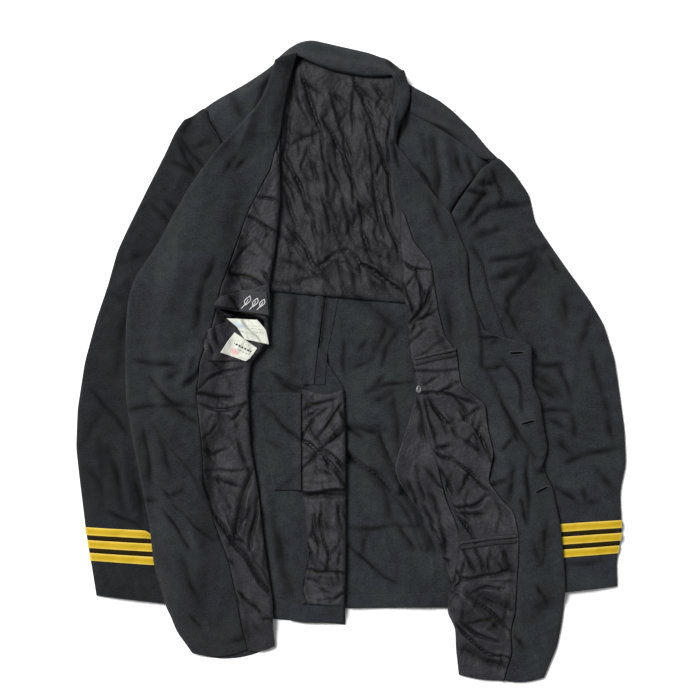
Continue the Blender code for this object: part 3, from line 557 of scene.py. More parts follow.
# %% Folds of each sheet
FOLDS = {
    "collar_stand": (
        (-70, 429, 47, 404, 4, 14, 14, 2), (48, 415, 62, 396, 1, 6, 6, -2.5), (-40, 404, 12, 388, -1, 2, 2, -1),
    ),
    "back_left": (
        (-110, -12, -66, -37, 0, 10, 2.2, 4), (-103, -23, -66, -51, 0, 6, 6, -2), (-134, -43, -115, -50, 0, 2, 2, -1),
        (-109, -219, -81, -319, 0, 14, 14, -2.5), (-112, -192, -95, -316, 0, 9, 9, 2.5),
        (-76, 84, -84, 1, 0, 10, 10, -1.5), (-94, -47, -76, -15, 0, 5, 5, -1), (-123, -150, -109, -219, 0, 8, 8, 2),
        (-81, -344, -29, -346, 0, 6, 6, -0.8),
    ),
    "back_right": (
        (21, 28, 11, 15, 0, 2, 2, -1.2), (63, 39, 43, -6, -3, 2.2, 2.2, -1.8), (44, -22, 29, -37, 0, 2.2, 2.2, -1.5),
        (21, -44, 84, -29, 3, 2.4, 2.4, -1.6), (-10, 29, -10, -15, 0, 2.2, 2.2, -1.2),
        (-6, -119, 63, -178, 4, 14, 5, 8), (-3, -131, 62, -189, 3, 9, 7, -7), (36, -95, 58, -142, -2, 6, 9, -6),
        (58, -142, 96, -212, -1, 5, 9, -7), (96, -212, 116, -262, -1, 5, 9, -7), (62, -175, 101, -258, 1, 12, 4, 4),
        (1, -92, 47, -95, -3, 8, 8, -6), (-6, -91, 15, -105, 0, 2.4, 2.4, -2.5),
        (40, -91, 59, -148, -3, 4, 3, -6), (59, -54, 66, -126, 0, 9, 9, -3), (73, -87, 62, -142, 0, 6, 6, 2.5),
        (0, -230, 63, -226, -1, 1.8, 1.8, -1.2), (62, -226, 98, -228, 0, 1.8, 1.8, -1),
        (-3, -254, 61, -304, -4, 2.2, 2.2, -1.8), (23, -229, 15, -269, 0, 3, 3, -1),
        (66, -228, 86, -257, 0, 7, 7, -3), (113, -261, 112, -305, 0, 6, 6, 1.5), (12, 84, 68, 43, 0, 14, 14, -2),
        (32, -57, 57, -43, 0, 8, 8, -1.5), (1, -109, 37, -139, 0, 6, 6, 2.5), (37, -157, 57, -219, 0, 10, 10, -3),
        (1, -12, 29, 4, 0, 6, 6, -1), (34, 15, 51, 54, 0, 7, 7, -1.2),
    ),
    "yoke_lining": (
        (-70, 413, -44, 323, -4, 3, 3, -3), (-44, 326, -34, 269, -1, 3, 3, -3), (-44, 313, -94, 284, -3, 3, 3, -2.8),
        (-63, 379, -46, 322, 0, 4, 4, -2), (-39, 333, -15, 291, 0, 2.8, 2.8, -3),
        (-17, 294, 4, 241, 0, 2.8, 2.8, -2.6), (3, 366, 3, 313, 0, 2.4, 2.4, -2.4), (4, 389, 21, 346, 0, 3, 3, -3.4),
        (21, 348, 39, 294, 0, 3, 3, -2.6), (37, 295, 54, 250, 0, 3, 3, -2.6), (52, 253, 58, 201, 0, 3.5, 3.5, -3),
        (10, 374, 26, 355, 0, 7, 7, -4), (33, 374, 43, 363, 0, 2.4, 2.4, -2.4), (43, 363, 36, 348, 0, 2.4, 2.4, -2),
        (44, 276, 32, 250, 0, 2.6, 2.6, -2.6), (21, 324, 29, 270, 0, 3, 3, -2), (28, 273, 34, 233, 0, 3, 3, -2),
        (-29, 268, -14, 239, 0, 3, 3, -2.4), (-10, 315, 4, 219, 0, 3.4, 3.4, -2.8), (-25, 305, -18, 269, 0, 3, 3, -2),
        (-57, 297, -68, 264, 0, 3, 3, -2), (-55, 277, -46, 247, 0, 3, 3, -2.2),
        (-84, 266, -66, 233, 0, 3.4, 3.4, -2.6), (-75, 250, -57, 203, 0, 4, 4, -3), (-91, 236, -75, 186, 0, 4, 4, -3),
        (-87, 186, -70, 159, 0, 3, 3, -2.4), (-73, 172, -52, 131, 0, 4, 4, -3.4), (-55, 137, -29, 110, -1, 3, 3, -3),
        (-81, 167, -62, 137, 0, 3, 3, -2), (-46, 128, -6, 152, 3, 3, 3, -3.2), (-6, 152, 15, 117, 6, 3, 3, -3.4),
        (12, 137, 70, 98, 3, 10, 3, 4), (21, 128, 66, 98, 1, 6, 6, -3.5), (-10, 222, -1, 172, 0, 4, 4, -2.4),
        (7, 228, 21, 159, 0, 4, 4, -2.4), (29, 241, 46, 172, 0, 4, 4, -2.4), (47, 200, 65, 150, 0, 3.4, 3.4, -2.4),
        (-43, 236, -28, 178, 0, 4, 4, -2.2), (-57, 214, -46, 161, 0, 3, 3, -2.2), (-25, 186, -12, 156, 0, 3, 3, -1.6),
        (-81, 112, -43, 112, 0, 2.2, 2.2, -1.6), (-54, 123, -44, 113, 0, 2, 2, -1.6),
        (-18, 137, -6, 99, -1, 3, 3, -1.6), (28, 113, 37, 98, 0, 3, 3, -2.4), (32, 126, 57, 112, 0, 4, 4, -2.6),
        (15, 178, 29, 137, 0, 4, 4, -2.4), (-70, 360, -57, 335, 0, 8, 8, 3), (12, 344, 21, 319, 0, 6, 6, 2.5),
        (-8, 137, -1, 105, 0, 9, 9, 2.5), (-29, 360, -18, 322, 0, 8, 8, 2), (50, 333, 47, 277, 0, 6, 6, 2),
        (-76, 413, -84, 335, 0, 10, 10, -5), (-86, 335, -92, 280, 0, 7, 7, -3.5), (-99, 106, -70, 106, 0, 4, 4, -2),
    ),
    "vent_facing": (
        (-68, -105, -52, -80, 0, 2.4, 2.4, -3.2), (-55, -59, -25, -54, -1, 2, 2, -2),
        (-14, -61, -47, -106, 0, 2, 2, -2.6), (-23, -62, -34, -83, 0, 1.8, 1.8, -2),
        (-18, -59, -41, -97, 0, 4, 4, 2.6), (-59, -92, -39, -121, 0, 2.2, 2.2, -2.4),
        (-68, -108, -41, -126, 0, 4, 4, -4), (-40, -121, -8, -94, 0, 2.4, 2.4, -3),
        (-33, -105, -15, -87, 0, 8, 8, 3.2), (-41, -123, -68, -149, 0, 3, 3, -3.4),
        (-33, -124, -4, -150, 0, 4.5, 4.5, -4.5), (-30, -124, -7, -142, 0, 2, 2, 2),
        (-39, -124, -12, -160, 0, 2.6, 2.6, -3.4), (-40, -130, -33, -148, 0, 2.4, 2.4, 1.6),
        (-47, -134, -43, -148, 0, 2.4, 2.4, 1.4), (-36, -130, -28, -150, 0, 2, 2, -1.4),
        (-68, -178, -7, -174, 0, 14, 2.2, 4), (-65, -186, -6, -184, 0, 6, 6, -4),
        (-41, -195, -41, -229, 0, 2.2, 2.2, -2.4), (-41, -228, -29, -272, 0, 2.2, 2.2, -2.4),
        (-51, -211, -52, -236, 0, 2, 2, -2), (-52, -235, -46, -254, 0, 2, 2, -1.8),
        (-18, -195, -15, -219, 0, 2, 2, -2), (-47, -203, -46, -233, 0, 3, 3, 1.8),
        (-23, -219, -18, -258, 0, 6, 6, 1.6), (-30, -266, -32, -284, 0, 2, 2, -1.8),
        (-15, -264, -17, -279, 0, 2, 2, -1.6), (-61, -286, -8, -291, -1, 3.4, 3.4, -3.4),
        (-65, -298, -41, -306, 0, 2, 2, -2), (-66, -297, -70, -333, 0, 3, 3, -4),
        (-66, -319, -61, -335, 0, 1.8, 1.8, -2), (-61, -326, -19, -323, 0, 3, 3, 1.2),
        (-21, -326, -8, -316, 0, 4, 4, -2.4), (-62, -247, -55, -265, 0, 2.4, 2.4, -2.4),
        (-55, -264, -66, -294, 0, 2.4, 2.4, -3), (-65, -68, -46, -59, 0, 3, 3, -2),
        (-62, -79, -48, -69, 0, 2.2, 2.2, -1.8), (-47, -76, -34, -66, 0, 2.4, 2.4, -2),
        (-14, -66, -6, -87, 0, 5, 5, -3), (-62, -130, -48, -120, 0, 4, 4, 2), (-23, -150, -6, -172, 0, 5, 5, -2.5),
        (-59, -164, -18, -161, 0, 8, 8, 1.5),
    ),
    "back_tuck_left": (
        (-115, -61, -66, -106, 0, 10, 2.2, 3.4), (-103, -79, -66, -112, 0, 5, 5, -2),
        (-68, -148, -98, -175, 0, 1.8, 1.8, -1), (-117, -110, -101, -117, 0, 6, 6, -1.2),
        (-123, -57, -112, -70, 0, 5, 5, -1),
    ),
    "front_body_left": (
        (-109, 392, -128, 346, -3, 4, 4, -2), (-206, 339, -177, 304, 0, 1.8, 1.8, -1.2),
        (-167, 366, -148, 335, 0, 8, 8, -1.5), (-123, -164, -103, -275, 0, 8, 8, -2),
    ),
    "front_body_right": (
        (113, 301, 117, 222, 3, 8, 8, -5), (91, 266, 119, 222, 0, 5, 5, -3), (139, 298, 155, 251, -1, 9, 9, -4.5),
        (160, 277, 171, 248, 0, 5, 5, -5), (128, 291, 135, 217, 0, 8, 8, 3.5),
        (174, 247, 137, 206, 4, 2.2, 2.2, -2.6), (65, 322, 59, 291, 0, 5.5, 5.5, -6),
        (81, 346, 66, 310, 3, 5, 5, -4.5), (97, 310, 102, 277, 0, 4, 4, -1), (153, 228, 139, 192, 0, 8, 8, 2),
        (94, -55, 115, -120, 0, 6, 6, -4),
    ),
    "back_shoulder_right": (
        (94, 330, 152, 305, 0, 2.4, 2.4, -1.4),
    ),
    "lapel_right": (
        (167, 153, 192, 84, 3, 6, 6, -1.5), (164, 137, 175, 84, 0, 6, 6, 1.5),
    ),
    "sleeve_top_left": (
        (-233, 305, -200, 264, -1, 3, 3, -3.2), (-215, 293, -193, 299, 1, 2.4, 2.4, -2.6),
        (-244, 273, -211, 254, 1, 3, 3, -2.4), (-237, 298, -215, 259, 0, 4, 4, -2.2),
        (-255, 221, -240, 207, 0, 3, 3, -1.6), (-273, 213, -248, 189, 0, 3, 3, -1.6),
        (-219, 333, -230, 316, 0, 7, 7, -1.6), (-222, 277, -241, 241, 0, 10, 10, 2),
        (-352, -43, -309, -99, 0, 3, 3, -1.8), (-333, -123, -312, -203, 0, 8, 8, -2.4),
        (-316, -117, -299, -200, 0, 7, 7, 2), (-333, -207, -291, -226, 1, 3, 3, -2.2),
        (-299, -150, -287, -219, 0, 6, 6, -2), (-346, -109, -341, -192, 0, 9, 9, -1.4),
        (-305, 84, -322, -15, 0, 12, 12, -1.6), (-319, 137, -277, 148, 0, 8, 8, -1.2),
        (-291, 181, -319, 98, 0, 12, 12, 1.6), (-363, -150, -330, -181, 0, 9, 9, -1.2),
        (-346, -75, -366, -109, 0, 9, 9, -1.2), (-328, 95, -316, 84, 0, 5, 5, -1),
        (-266, 167, -255, 137, 0, 6, 6, -1.2),
    ),
    "sleeve_top_right": (
        (196, 258, 206, 215, 3, 4, 4, -5), (178, 241, 197, 244, 0, 8, 8, -5), (155, 233, 185, 228, 0, 5, 5, -5),
        (184, 229, 153, 189, 0, 6, 6, -4.5), (164, 185, 190, 207, 0, 3, 3, -3),
        (190, 207, 247, 219, -1, 5.5, 5.5, -3.4), (175, 170, 208, 182, 0, 9, 9, -4.5),
        (164, 215, 175, 206, 0, 6, 6, 3), (186, 218, 222, 224, 0, 8, 8, 3), (192, 137, 253, 152, -4, 6, 6, -4.4),
        (196, 110, 228, 121, 0, 8, 8, -5.5), (268, 157, 237, 106, -1, 4, 4, -5), (251, 148, 230, 105, -1, 3, 3, -4.4),
        (261, 145, 233, 106, 0, 3, 3, 3), (237, 109, 214, 83, 0, 4.4, 4.4, -3.4), (215, 88, 214, 65, 0, 4, 4, -4),
        (214, 66, 228, 40, 0, 6, 6, -3.4), (275, 139, 283, 124, 0, 2, 2, -1.8), (295, 98, 295, 51, 0, 9, 9, -3.4),
        (328, 57, 316, 23, 0, 6, 6, -3.4), (258, -23, 288, -46, 0, 14, 14, -5.5),
        (254, -7, 287, -6, 0, 2.2, 2.2, -1.4), (286, -7, 301, -50, 1, 2.6, 2.6, -2.4),
        (262, -69, 298, -68, 0, 2.8, 2.8, -2.4), (253, -36, 284, -52, 1, 3, 3, -2.6),
        (253, -1, 288, -1, 0, 8, 2.4, 2.5), (272, -80, 291, -91, 1, 2.2, 2.2, -2),
        (305, -77, 308, -103, 0, 3, 3, -2.4), (367, -119, 298, -139, -1, 4.4, 4.4, -3),
        (282, -175, 312, -197, 3, 2.2, 2.2, -2), (319, -178, 322, -189, 0, 2, 2, -1.6),
        (323, -197, 339, -193, 1, 2, 2, -1.5), (295, -279, 349, -275, 0, 2.2, 2.2, -1),
        (233, 188, 261, 137, 0, 10, 10, 2.5), (272, 84, 283, 15, 0, 12, 12, 2.5),
        (349, -54, 360, -109, 0, 8, 8, -1.8), (330, 12, 344, -43, 0, 8, 8, -1.6), (310, 29, 297, -54, 0, 8, 8, 2.2),
        (244, 22, 257, -1, 0, 6, 6, -2.4), (283, -109, 302, -126, 0, 7, 7, -2), (338, -150, 360, -175, 0, 8, 8, -1.6),
    ),
    "facing_left": (
        (-95, 443, -131, 363, 1, 7, 7, 5), (-131, 363, -203, 261, -1, 8, 8, 3), (-75, 418, -95, 310, 0, 14, 14, -6),
        (-144, 277, -157, 261, 0, 5, 5, -1.6), (-123, 374, -153, 291, 0, 14, 14, 4),
        (-306, -66, -230, -59, 0, 4, 4, -2.4), (-272, -25, -213, -62, -10, 6, 6, -3.2),
        (-291, 0, -239, -6, 0, 5, 5, -2.6), (-288, 6, -222, 3, 0, 5, 5, 2), (-199, 25, -197, -1, 1, 5, 5, -6),
        (-197, 1, -225, -33, 4, 5, 5, -6), (-214, 12, -228, -23, 0, 7, 7, 3),
        (-255, -177, -247, -185, 0, 2.2, 2.2, -2), (-247, -185, -229, -175, 0, 2.2, 2.2, -1.8),
        (-284, -190, -265, -190, 0, 3, 3, -1.8), (-270, -81, -197, -184, 3, 14, 3, 3.6),
        (-255, -203, -221, -254, 0, 3, 3, -2.4), (-236, -195, -186, -241, 0, 12, 4, 2.6),
        (-218, -348, -206, -364, 0, 3, 3, -1.6), (-172, 257, -159, 277, 0, 7, 7, -1.4),
        (-236, 128, -264, 43, 0, 16, 16, 1.6), (-186, 137, -206, 84, 0, 7, 7, -3), (-203, 84, -211, 48, 0, 7, 7, -3),
        (-283, -95, -275, -164, 0, 6, 6, -1.6), (-241, -65, -214, -81, 0, 6, 6, -1.6),
        (-228, -275, -208, -330, 0, 10, 10, -1.4), (-164, -385, -123, -371, 0, 8, 8, -1.4),
        (-253, -26, -236, -15, 0, 8, 8, -1.2), (-259, -109, -247, -150, 0, 8, 8, -1.4),
        (-222, -219, -189, -283, 0, 8, 8, 1.6),
    ),
    "lining_left": (
        (-176, 72, -118, 54, 0, 4, 4, -6), (-172, 68, -118, 50, 0, 4, 4, -6), (-160, 62, -116, 46, 0, 3.5, 3.5, -6),
        (-186, 70, -150, 48, 0, 2.5, 2.5, -5),
        (-130, 225, -98, 218, 0, 3, 3, -2.2), (-149, 201, -103, 177, 0, 3.4, 3.4, -3.2),
        (-144, 255, -148, 233, 0, 3, 3, -1.6), (-123, 255, -120, 236, 0, 3, 3, -1.2),
        (-167, 119, -116, 99, 4, 4, 4, -3), (-119, 120, -113, 112, 0, 4, 4, -4), (-164, 128, -178, 106, 0, 6, 6, -3),
        (-153, 98, -123, 84, 0, 6, 6, 2), (-211, -41, -149, -10, 6, 3, 3, -3), (-213, -44, -163, -51, 0, 5, 5, -3.4),
        (-206, -59, -142, -59, -6, 3, 3, -3.4), (-144, -58, -163, -83, 0, 2.4, 2.4, -2.6),
        (-184, -86, -201, -106, 1, 2.4, 2.4, -2.6), (-204, -150, -130, -148, 0, 1.8, 1.8, -1.2),
        (-137, -156, -164, -250, 0, 8, 8, -4), (-141, -188, -148, -233, 0, 8, 8, 3.4),
        (-128, -189, -138, -257, 0, 4.4, 4.4, -6), (-171, -235, -149, -246, 0, 2, 2, -1.8),
        (-200, -161, -190, -206, 0, 2.6, 2.6, -3), (-190, -203, -148, -265, -3, 4, 4, -8),
        (-149, -261, -112, -316, -1, 5, 5, -8), (-178, -200, -137, -264, -3, 6, 6, 3.4),
        (-137, -269, -115, -302, 0, 4, 4, 2.5), (-178, 59, -153, 23, 0, 8, 8, -3),
        (-172, -291, -153, -330, 0, 4, 4, -1.8), (-153, -316, -123, -346, 0, 3, 3, -1.6),
        (-159, -351, -148, -382, 0, 5, 5, -2.4), (-172, -302, -145, -338, 0, 7, 7, 1.6),
        (-160, 84, -144, 95, 0, 8, 8, -2), (-195, -130, -172, -121, 0, 4, 4, -1.4),
        (-189, -68, -159, -75, 0, 10, 10, 2), (-156, -109, -145, -139, 0, 6, 6, -1.6),
        (-203, -120, -189, -126, 0, 3, 3, -1.6), (-186, -161, -156, -172, 0, 8, 8, -1.6),
    ),
    "facing_right": (
        (178, 32, 201, 32, 0, 2.2, 2.2, -1.4), (190, 22, 199, 28, 1, 2, 2, -1), (181, -7, 251, -132, -1, 7, 7, -4.6),
        (197, -37, 237, -83, 0, 4, 4, 2.8), (206, 3, 232, -66, 8, 2.2, 2.2, -2.4), (217, -87, 229, -112, 0, 8, 8, -4),
        (219, -106, 208, -120, 0, 3, 3, -2.4), (241, -132, 241, -213, 0, 5, 5, -2.8),
        (228, -117, 250, -150, 0, 5, 5, 2), (186, -175, 210, -164, 1, 4, 4, -4.4),
        (197, -132, 186, -166, 1, 3, 3, -3), (257, -152, 273, -152, 0, 2.4, 2.4, -2.6),
        (268, -141, 255, -152, 0, 2.4, 2.4, -2), (233, -192, 239, -222, 0, 4, 4, -2.4),
        (253, -306, 269, -331, 0, 3, 3, -1.2), (226, -379, 237, -393, 0, 2.4, 2.4, -1.8),
        (128, 250, 120, 215, 0, 10, 10, -1.6), (92, 291, 101, 247, 0, 10, 10, -2), (55, 377, 58, 305, 0, 7, 7, 5),
        (46, 413, 57, 374, 0, 6, 6, 3), (106, 222, 128, 172, 0, 12, 12, -1.4), (144, 153, 159, 43, 0, 7, 7, 1.6),
        (159, 142, 179, -7, 0, 3, 3, -1.6), (128, 84, 139, 22, 0, 10, 10, -1.2),
        (206, -247, 217, -302, 0, 8, 8, -1.4), (268, -219, 261, -275, 0, 8, 8, -1.2),
        (222, -150, 214, -192, 0, 8, 8, -2), (206, -126, 217, -153, 0, 6, 6, 2), (247, -247, 258, -275, 0, 8, 8, -1),
        (232, -34, 255, -87, 0, 7, 7, 1.8), (76, 344, 73, 305, 0, 4, 4, -2.5), (57, 297, 65, 266, 0, 5, 5, -2),
        (184, -11, 206, -7, 0, 5, 5, -1.4),
    ),
    "lining_right": (
        (58, -142, 92, -207, -1, 3, 3, -5), (92, -207, 111, -262, -1, 3, 3, -5),
        (68, 137, 110, 124, -4, 2.6, 2.6, -3), (110, 124, 112, 102, 0, 2.6, 2.6, -2.2),
        (109, 101, 81, 52, 4, 4, 4, -4.4), (83, 51, 117, 70, -1, 2.2, 2.2, -2.6),
        (87, -14, 179, -6, -1, 1.8, 1.8, -1.4), (94, -43, 120, -44, 0, 2.2, 2.2, -2.4),
        (146, -29, 119, -44, 1, 2.2, 2.2, -2.8), (120, -44, 167, -58, 3, 3, 3, -2.8),
        (110, -54, 146, -105, 0, 2.6, 2.6, -3), (149, -68, 192, -139, 3, 2.6, 2.6, -3),
        (155, -108, 175, -123, 0, 2.2, 2.2, -2.2), (119, -119, 134, -117, 0, 5, 5, -4.4),
        (115, -123, 137, -134, -3, 3, 3, -3), (138, -132, 186, -177, 0, 2.6, 2.6, -2.6),
        (145, -201, 185, -185, -6, 5, 5, -4.4), (149, -208, 179, -211, 0, 8, 8, -3.4),
        (139, -199, 171, -248, 0, 4, 4, -4.6), (171, -258, 185, -293, 0, 2.2, 2.2, -2.4),
        (186, -258, 186, -291, 0, 2.6, 2.6, 1.8), (185, -294, 221, -287, 0, 4, 4, -3.4),
        (185, -294, 150, -298, 0, 2.6, 2.6, -2.6), (152, -298, 137, -317, 0, 3, 3, -3.4),
        (127, -262, 152, -299, 0, 2.2, 2.2, -2.6), (179, -322, 215, -339, 0, 14, 14, -6),
        (159, -316, 222, -375, 0, 2.4, 2.4, -3.6), (153, -323, 214, -381, 0, 7, 7, 4.4),
        (152, -359, 201, -386, -3, 4, 4, -4.4), (160, -360, 195, -352, 0, 2.2, 2.2, -2),
        (146, -362, 199, -407, -6, 3, 3, -4.4), (197, -406, 224, -408, 0, 3, 3, -3.4),
        (159, -399, 214, -424, 0, 12, 12, -3.4), (139, -313, 156, -322, 0, 4, 4, 2.5),
        (167, -316, 206, -312, 4, 4, 4, -2.4), (192, -299, 222, -297, 0, 4, 4, 2),
        (72, 105, 84, 68, 0, 2.4, 2.4, -2.2), (92, 115, 97, 84, 0, 2.4, 2.4, -2.2),
        (101, 95, 95, 70, 0, 2.4, 2.4, -2), (62, 137, 70, 98, 0, 3, 3, -2), (102, -32, 117, -23, 0, 2.4, 2.4, -1.6),
        (128, -73, 137, -92, 0, 5, 5, 2.4), (164, -87, 184, -123, 0, 5, 5, 2.6),
        (101, -54, 117, -109, 0, 2.4, 2.4, -2.4), (106, -51, 131, -98, 0, 2, 2, -1.6),
        (144, -51, 164, -79, 0, 5, 5, -2.4), (153, -150, 172, -167, 0, 6, 6, 2),
        (164, -150, 150, -178, 0, 5, 5, -1.8), (123, -150, 139, -181, 0, 6, 6, -2.4),
        (127, -192, 135, -247, 0, 3, 3, -2.4), (135, -206, 148, -254, 0, 5, 5, 2),
        (153, -81, 175, -65, 0, 4, 4, -1.8), (206, -254, 213, -283, 0, 6, 6, -1.6),
        (153, -258, 170, -288, 0, 5, 5, -1.8), (164, -330, 186, -355, 0, 4, 4, 2),
    ),
    "side_lining_right": (
        (103, -148, 123, -174, 0, 3, 3, -2.4), (90, -145, 101, -192, 0, 2.4, 2.4, -2),
        (79, -164, 90, -195, 0, 2.4, 2.4, -1.8), (95, -164, 109, -200, 0, 4, 4, 2),
        (112, -184, 123, -214, 0, 3, 3, -2.4), (101, -200, 113, -222, 0, 3, 3, -2),
        (123, -219, 131, -264, 0, 3, 3, -2.6), (91, -54, 101, -109, 0, 6, 6, -2),
        (115, -264, 134, -275, 0, 3, 3, -2.4), (128, -283, 139, -316, 0, 3, 3, -2.4),
        (109, -222, 124, -254, 0, 3, 3, -2), (117, -233, 128, -275, 0, 4, 4, 2),
    ),
    "pocket_bag_left": (
        (-189, 54, -181, 21, 0, 4, 4, -2), (-200, 43, -189, 12, 0, 3, 3, -1.6), (-178, 43, -167, 15, 0, 5, 5, 1.6),
    ),
    "pocket_band_left": (
        (-200, 79, -115, 62, -1, 2, 2, -1.4), (-164, 87, -153, 70, 0, 4, 4, -1.4),
    ),
    "label_upper": (
        (-149, 55, -123, 26, 0, 1.6, 1.6, -0.8), (-164, 43, -137, 37, 0, 1.6, 1.6, -0.5),
    ),
    "label_lower": (
        (-145, 29, -153, 12, 0, 1.6, 1.6, -0.5),
    ),
}
print("folds:", sum(len(rows) for rows in FOLDS.values()))

# %% [markdown]
# ## Laying the sheets
# Cloth lies on what is under it, and steps below show through as soft edges. A cloth simulation would find that
# rest by itself, but slowly and not always the same. Here a height map of the whole heap is kept. Each sheet
# rests on the map, widened and softened by the cloth's stiffness, and is then added to it.

# %% The heap: a height map on square cells
CELL = 2.0
HEAP_LOW, HEAP_SHAPE = np.array((-420.0, -480.0)), (420, 480)


def raised(height, reach):
    """Every cell raised to the highest within reach cells, along x and then along y."""
    for axis in (0, 1):
        height = np.max([np.roll(height, shift, axis) for shift in range(-reach, reach + 1)], axis=0)
    return height


def blurred(height, soft):
    """A running mean with Gauss's weights, along x and then along y."""
    reach = int(math.ceil(2.5 * soft))
    weights = np.exp(-0.5 * (np.arange(-reach, reach + 1) / soft) ** 2)
    weights = list(zip(weights / weights.sum(), range(-reach, reach + 1)))
    for axis in (0, 1):
        height = sum(weight * np.roll(height, shift, axis) for weight, shift in weights)
    return height


def sampled(height, plan):
    """The map at each point of a plan, straight between its four nearest cells."""
    spot = np.clip((plan - HEAP_LOW) / CELL - 0.5, 0, np.array(HEAP_SHAPE) - 2.001)
    i, j = spot.astype(int)[..., 0], spot.astype(int)[..., 1]
    a, b = spot[..., 0] - i, spot[..., 1] - j
    near, far = (height[i, k] * (1 - a) + height[i + 1, k] * a for k in (j, j + 1))
    return near * (1 - b) + far * b


def heaped(height, plan, top):
    """The map with a sheet added: its quads are filled in so closely that no cell is missed."""
    step = max(np.hypot(*np.moveaxis(np.diff(plan, axis=k), -1, 0)).max() for k in (0, 1))
    cuts = max(1, int(math.ceil(step / (0.7 * CELL))))
    for p in range(cuts):
        for q in range(cuts):
            f, g = p / cuts, q / cuts
            spot, level = ((1 - f) * (1 - g) * grid[:-1, :-1] + f * (1 - g) * grid[1:, :-1]
                           + (1 - f) * g * grid[:-1, 1:] + f * g * grid[1:, 1:] for grid in (plan, top))
            cells = ((spot - HEAP_LOW) / CELL).astype(int)
            np.maximum.at(height, (cells[..., 0].ravel(), cells[..., 1].ravel()), level.ravel())
    return height


# %% Every new piece is made alike
def new_piece(name, points, faces, finish):
    """A smooth piece from points in millimetres. Its object stays at the origin and rides the only body."""
    mesh = bpy.data.meshes.new(name)
    mesh.from_pydata((points * MM).tolist(), [], faces)
    mesh.polygons.foreach_set("use_smooth", np.ones(len(mesh.polygons), dtype=bool))
    mesh.materials.append(finish)
    piece = bpy.data.objects.new(name, mesh)
    bpy.context.scene.collection.objects.link(piece)
    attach(piece, "root")
    return piece


def set_tone(piece, key, values):
    """A number from 0 to 1 on every vertex, which a finish reads by its name."""
    piece.data.attributes.new(key, "FLOAT", "POINT").data.foreach_set("value", np.clip(values, 0.0, 1.0))


# %% A sheet's mesh: a fine upper side, an under side of every second row and column, and a rim between them
def grid_faces(index, up):
    quads = np.stack((index[:-1, :-1], index[1:, :-1], index[1:, 1:], index[:-1, 1:]), axis=-1).reshape(-1, 4)
    return quads if up else quads[:, ::-1]


def around(index):
    return np.concatenate((index[:, 0], index[-1, 1:], index[-2::-1, -1], index[0, -2:0:-1]))


def shell(name, plan, top, under, finish, tones):
    """One closed piece with its thread UV and its tones. Rows run down and columns run right."""
    rows, columns = top.shape
    fine = np.arange(rows * columns).reshape(rows, columns)
    coarse = fine[::2, ::2]
    lower = rows * columns + np.arange(coarse.size).reshape(coarse.shape)
    points = np.concatenate((np.dstack((plan, top)).reshape(-1, 3),
                             np.dstack((plan, under))[::2, ::2].reshape(-1, 3)))
    edge, below = around(fine), around(lower)
    one, two, three = edge[::2], edge[1::2], np.roll(edge[::2], -1)
    walls = np.stack((two, one, below, np.roll(below, -1), three), axis=1)
    faces = grid_faces(fine, True).tolist() + grid_faces(lower, False).tolist() + walls.tolist()
    piece = new_piece(name, points, faces, finish)
    mesh = piece.data
    right, below = (np.cumsum(np.hypot(*np.moveaxis(np.diff(plan, axis=axis), -1, 0)), axis=axis) for axis in (1, 0))
    across = np.concatenate((np.zeros((rows, 1)), right), axis=1)
    down = np.concatenate((np.zeros((1, columns)), below))
    across, down = across - 0.5 * across[:, -1:], 0.5 * down[-1:] - down
    uv = np.dstack((across, down)) * MM
    uv = np.concatenate((uv.reshape(-1, 2), uv[::2, ::2].reshape(-1, 2)))
    home = np.empty(len(mesh.loops), dtype=int)
    mesh.loops.foreach_get("vertex_index", home)
    mesh.uv_layers.new(name="thread").data.foreach_set("uv", uv[home].ravel())
    for key, values in tones.items():
        set_tone(piece, key, np.concatenate((values.ravel(), np.zeros(coarse.size))))
    return piece


# %% Lay one sheet
def quarter(distance, radius):
    """A quarter round: 0 at the edge, 1 from the radius inwards."""
    if radius <= 0.0:
        return np.ones(distance.shape)
    return np.sqrt(1.0 - (1.0 - np.clip(distance / radius, 0.0, 1.0)) ** 2)


HEAP = np.zeros(HEAP_SHAPE)
AIR = 0.35
sheets, triangles = {}, 0
FOLD_LEAST, FOLD_BLUR = 1.1, 0.7
ROUNDING, RIM_SAG, WORN_WIDTH = 0.35, 0.75, 2.2
# How strongly the folds' shade is painted into wool and into the other cloths.
WOOL_SHADE, SATIN_SHADE = 1.1, 1.4


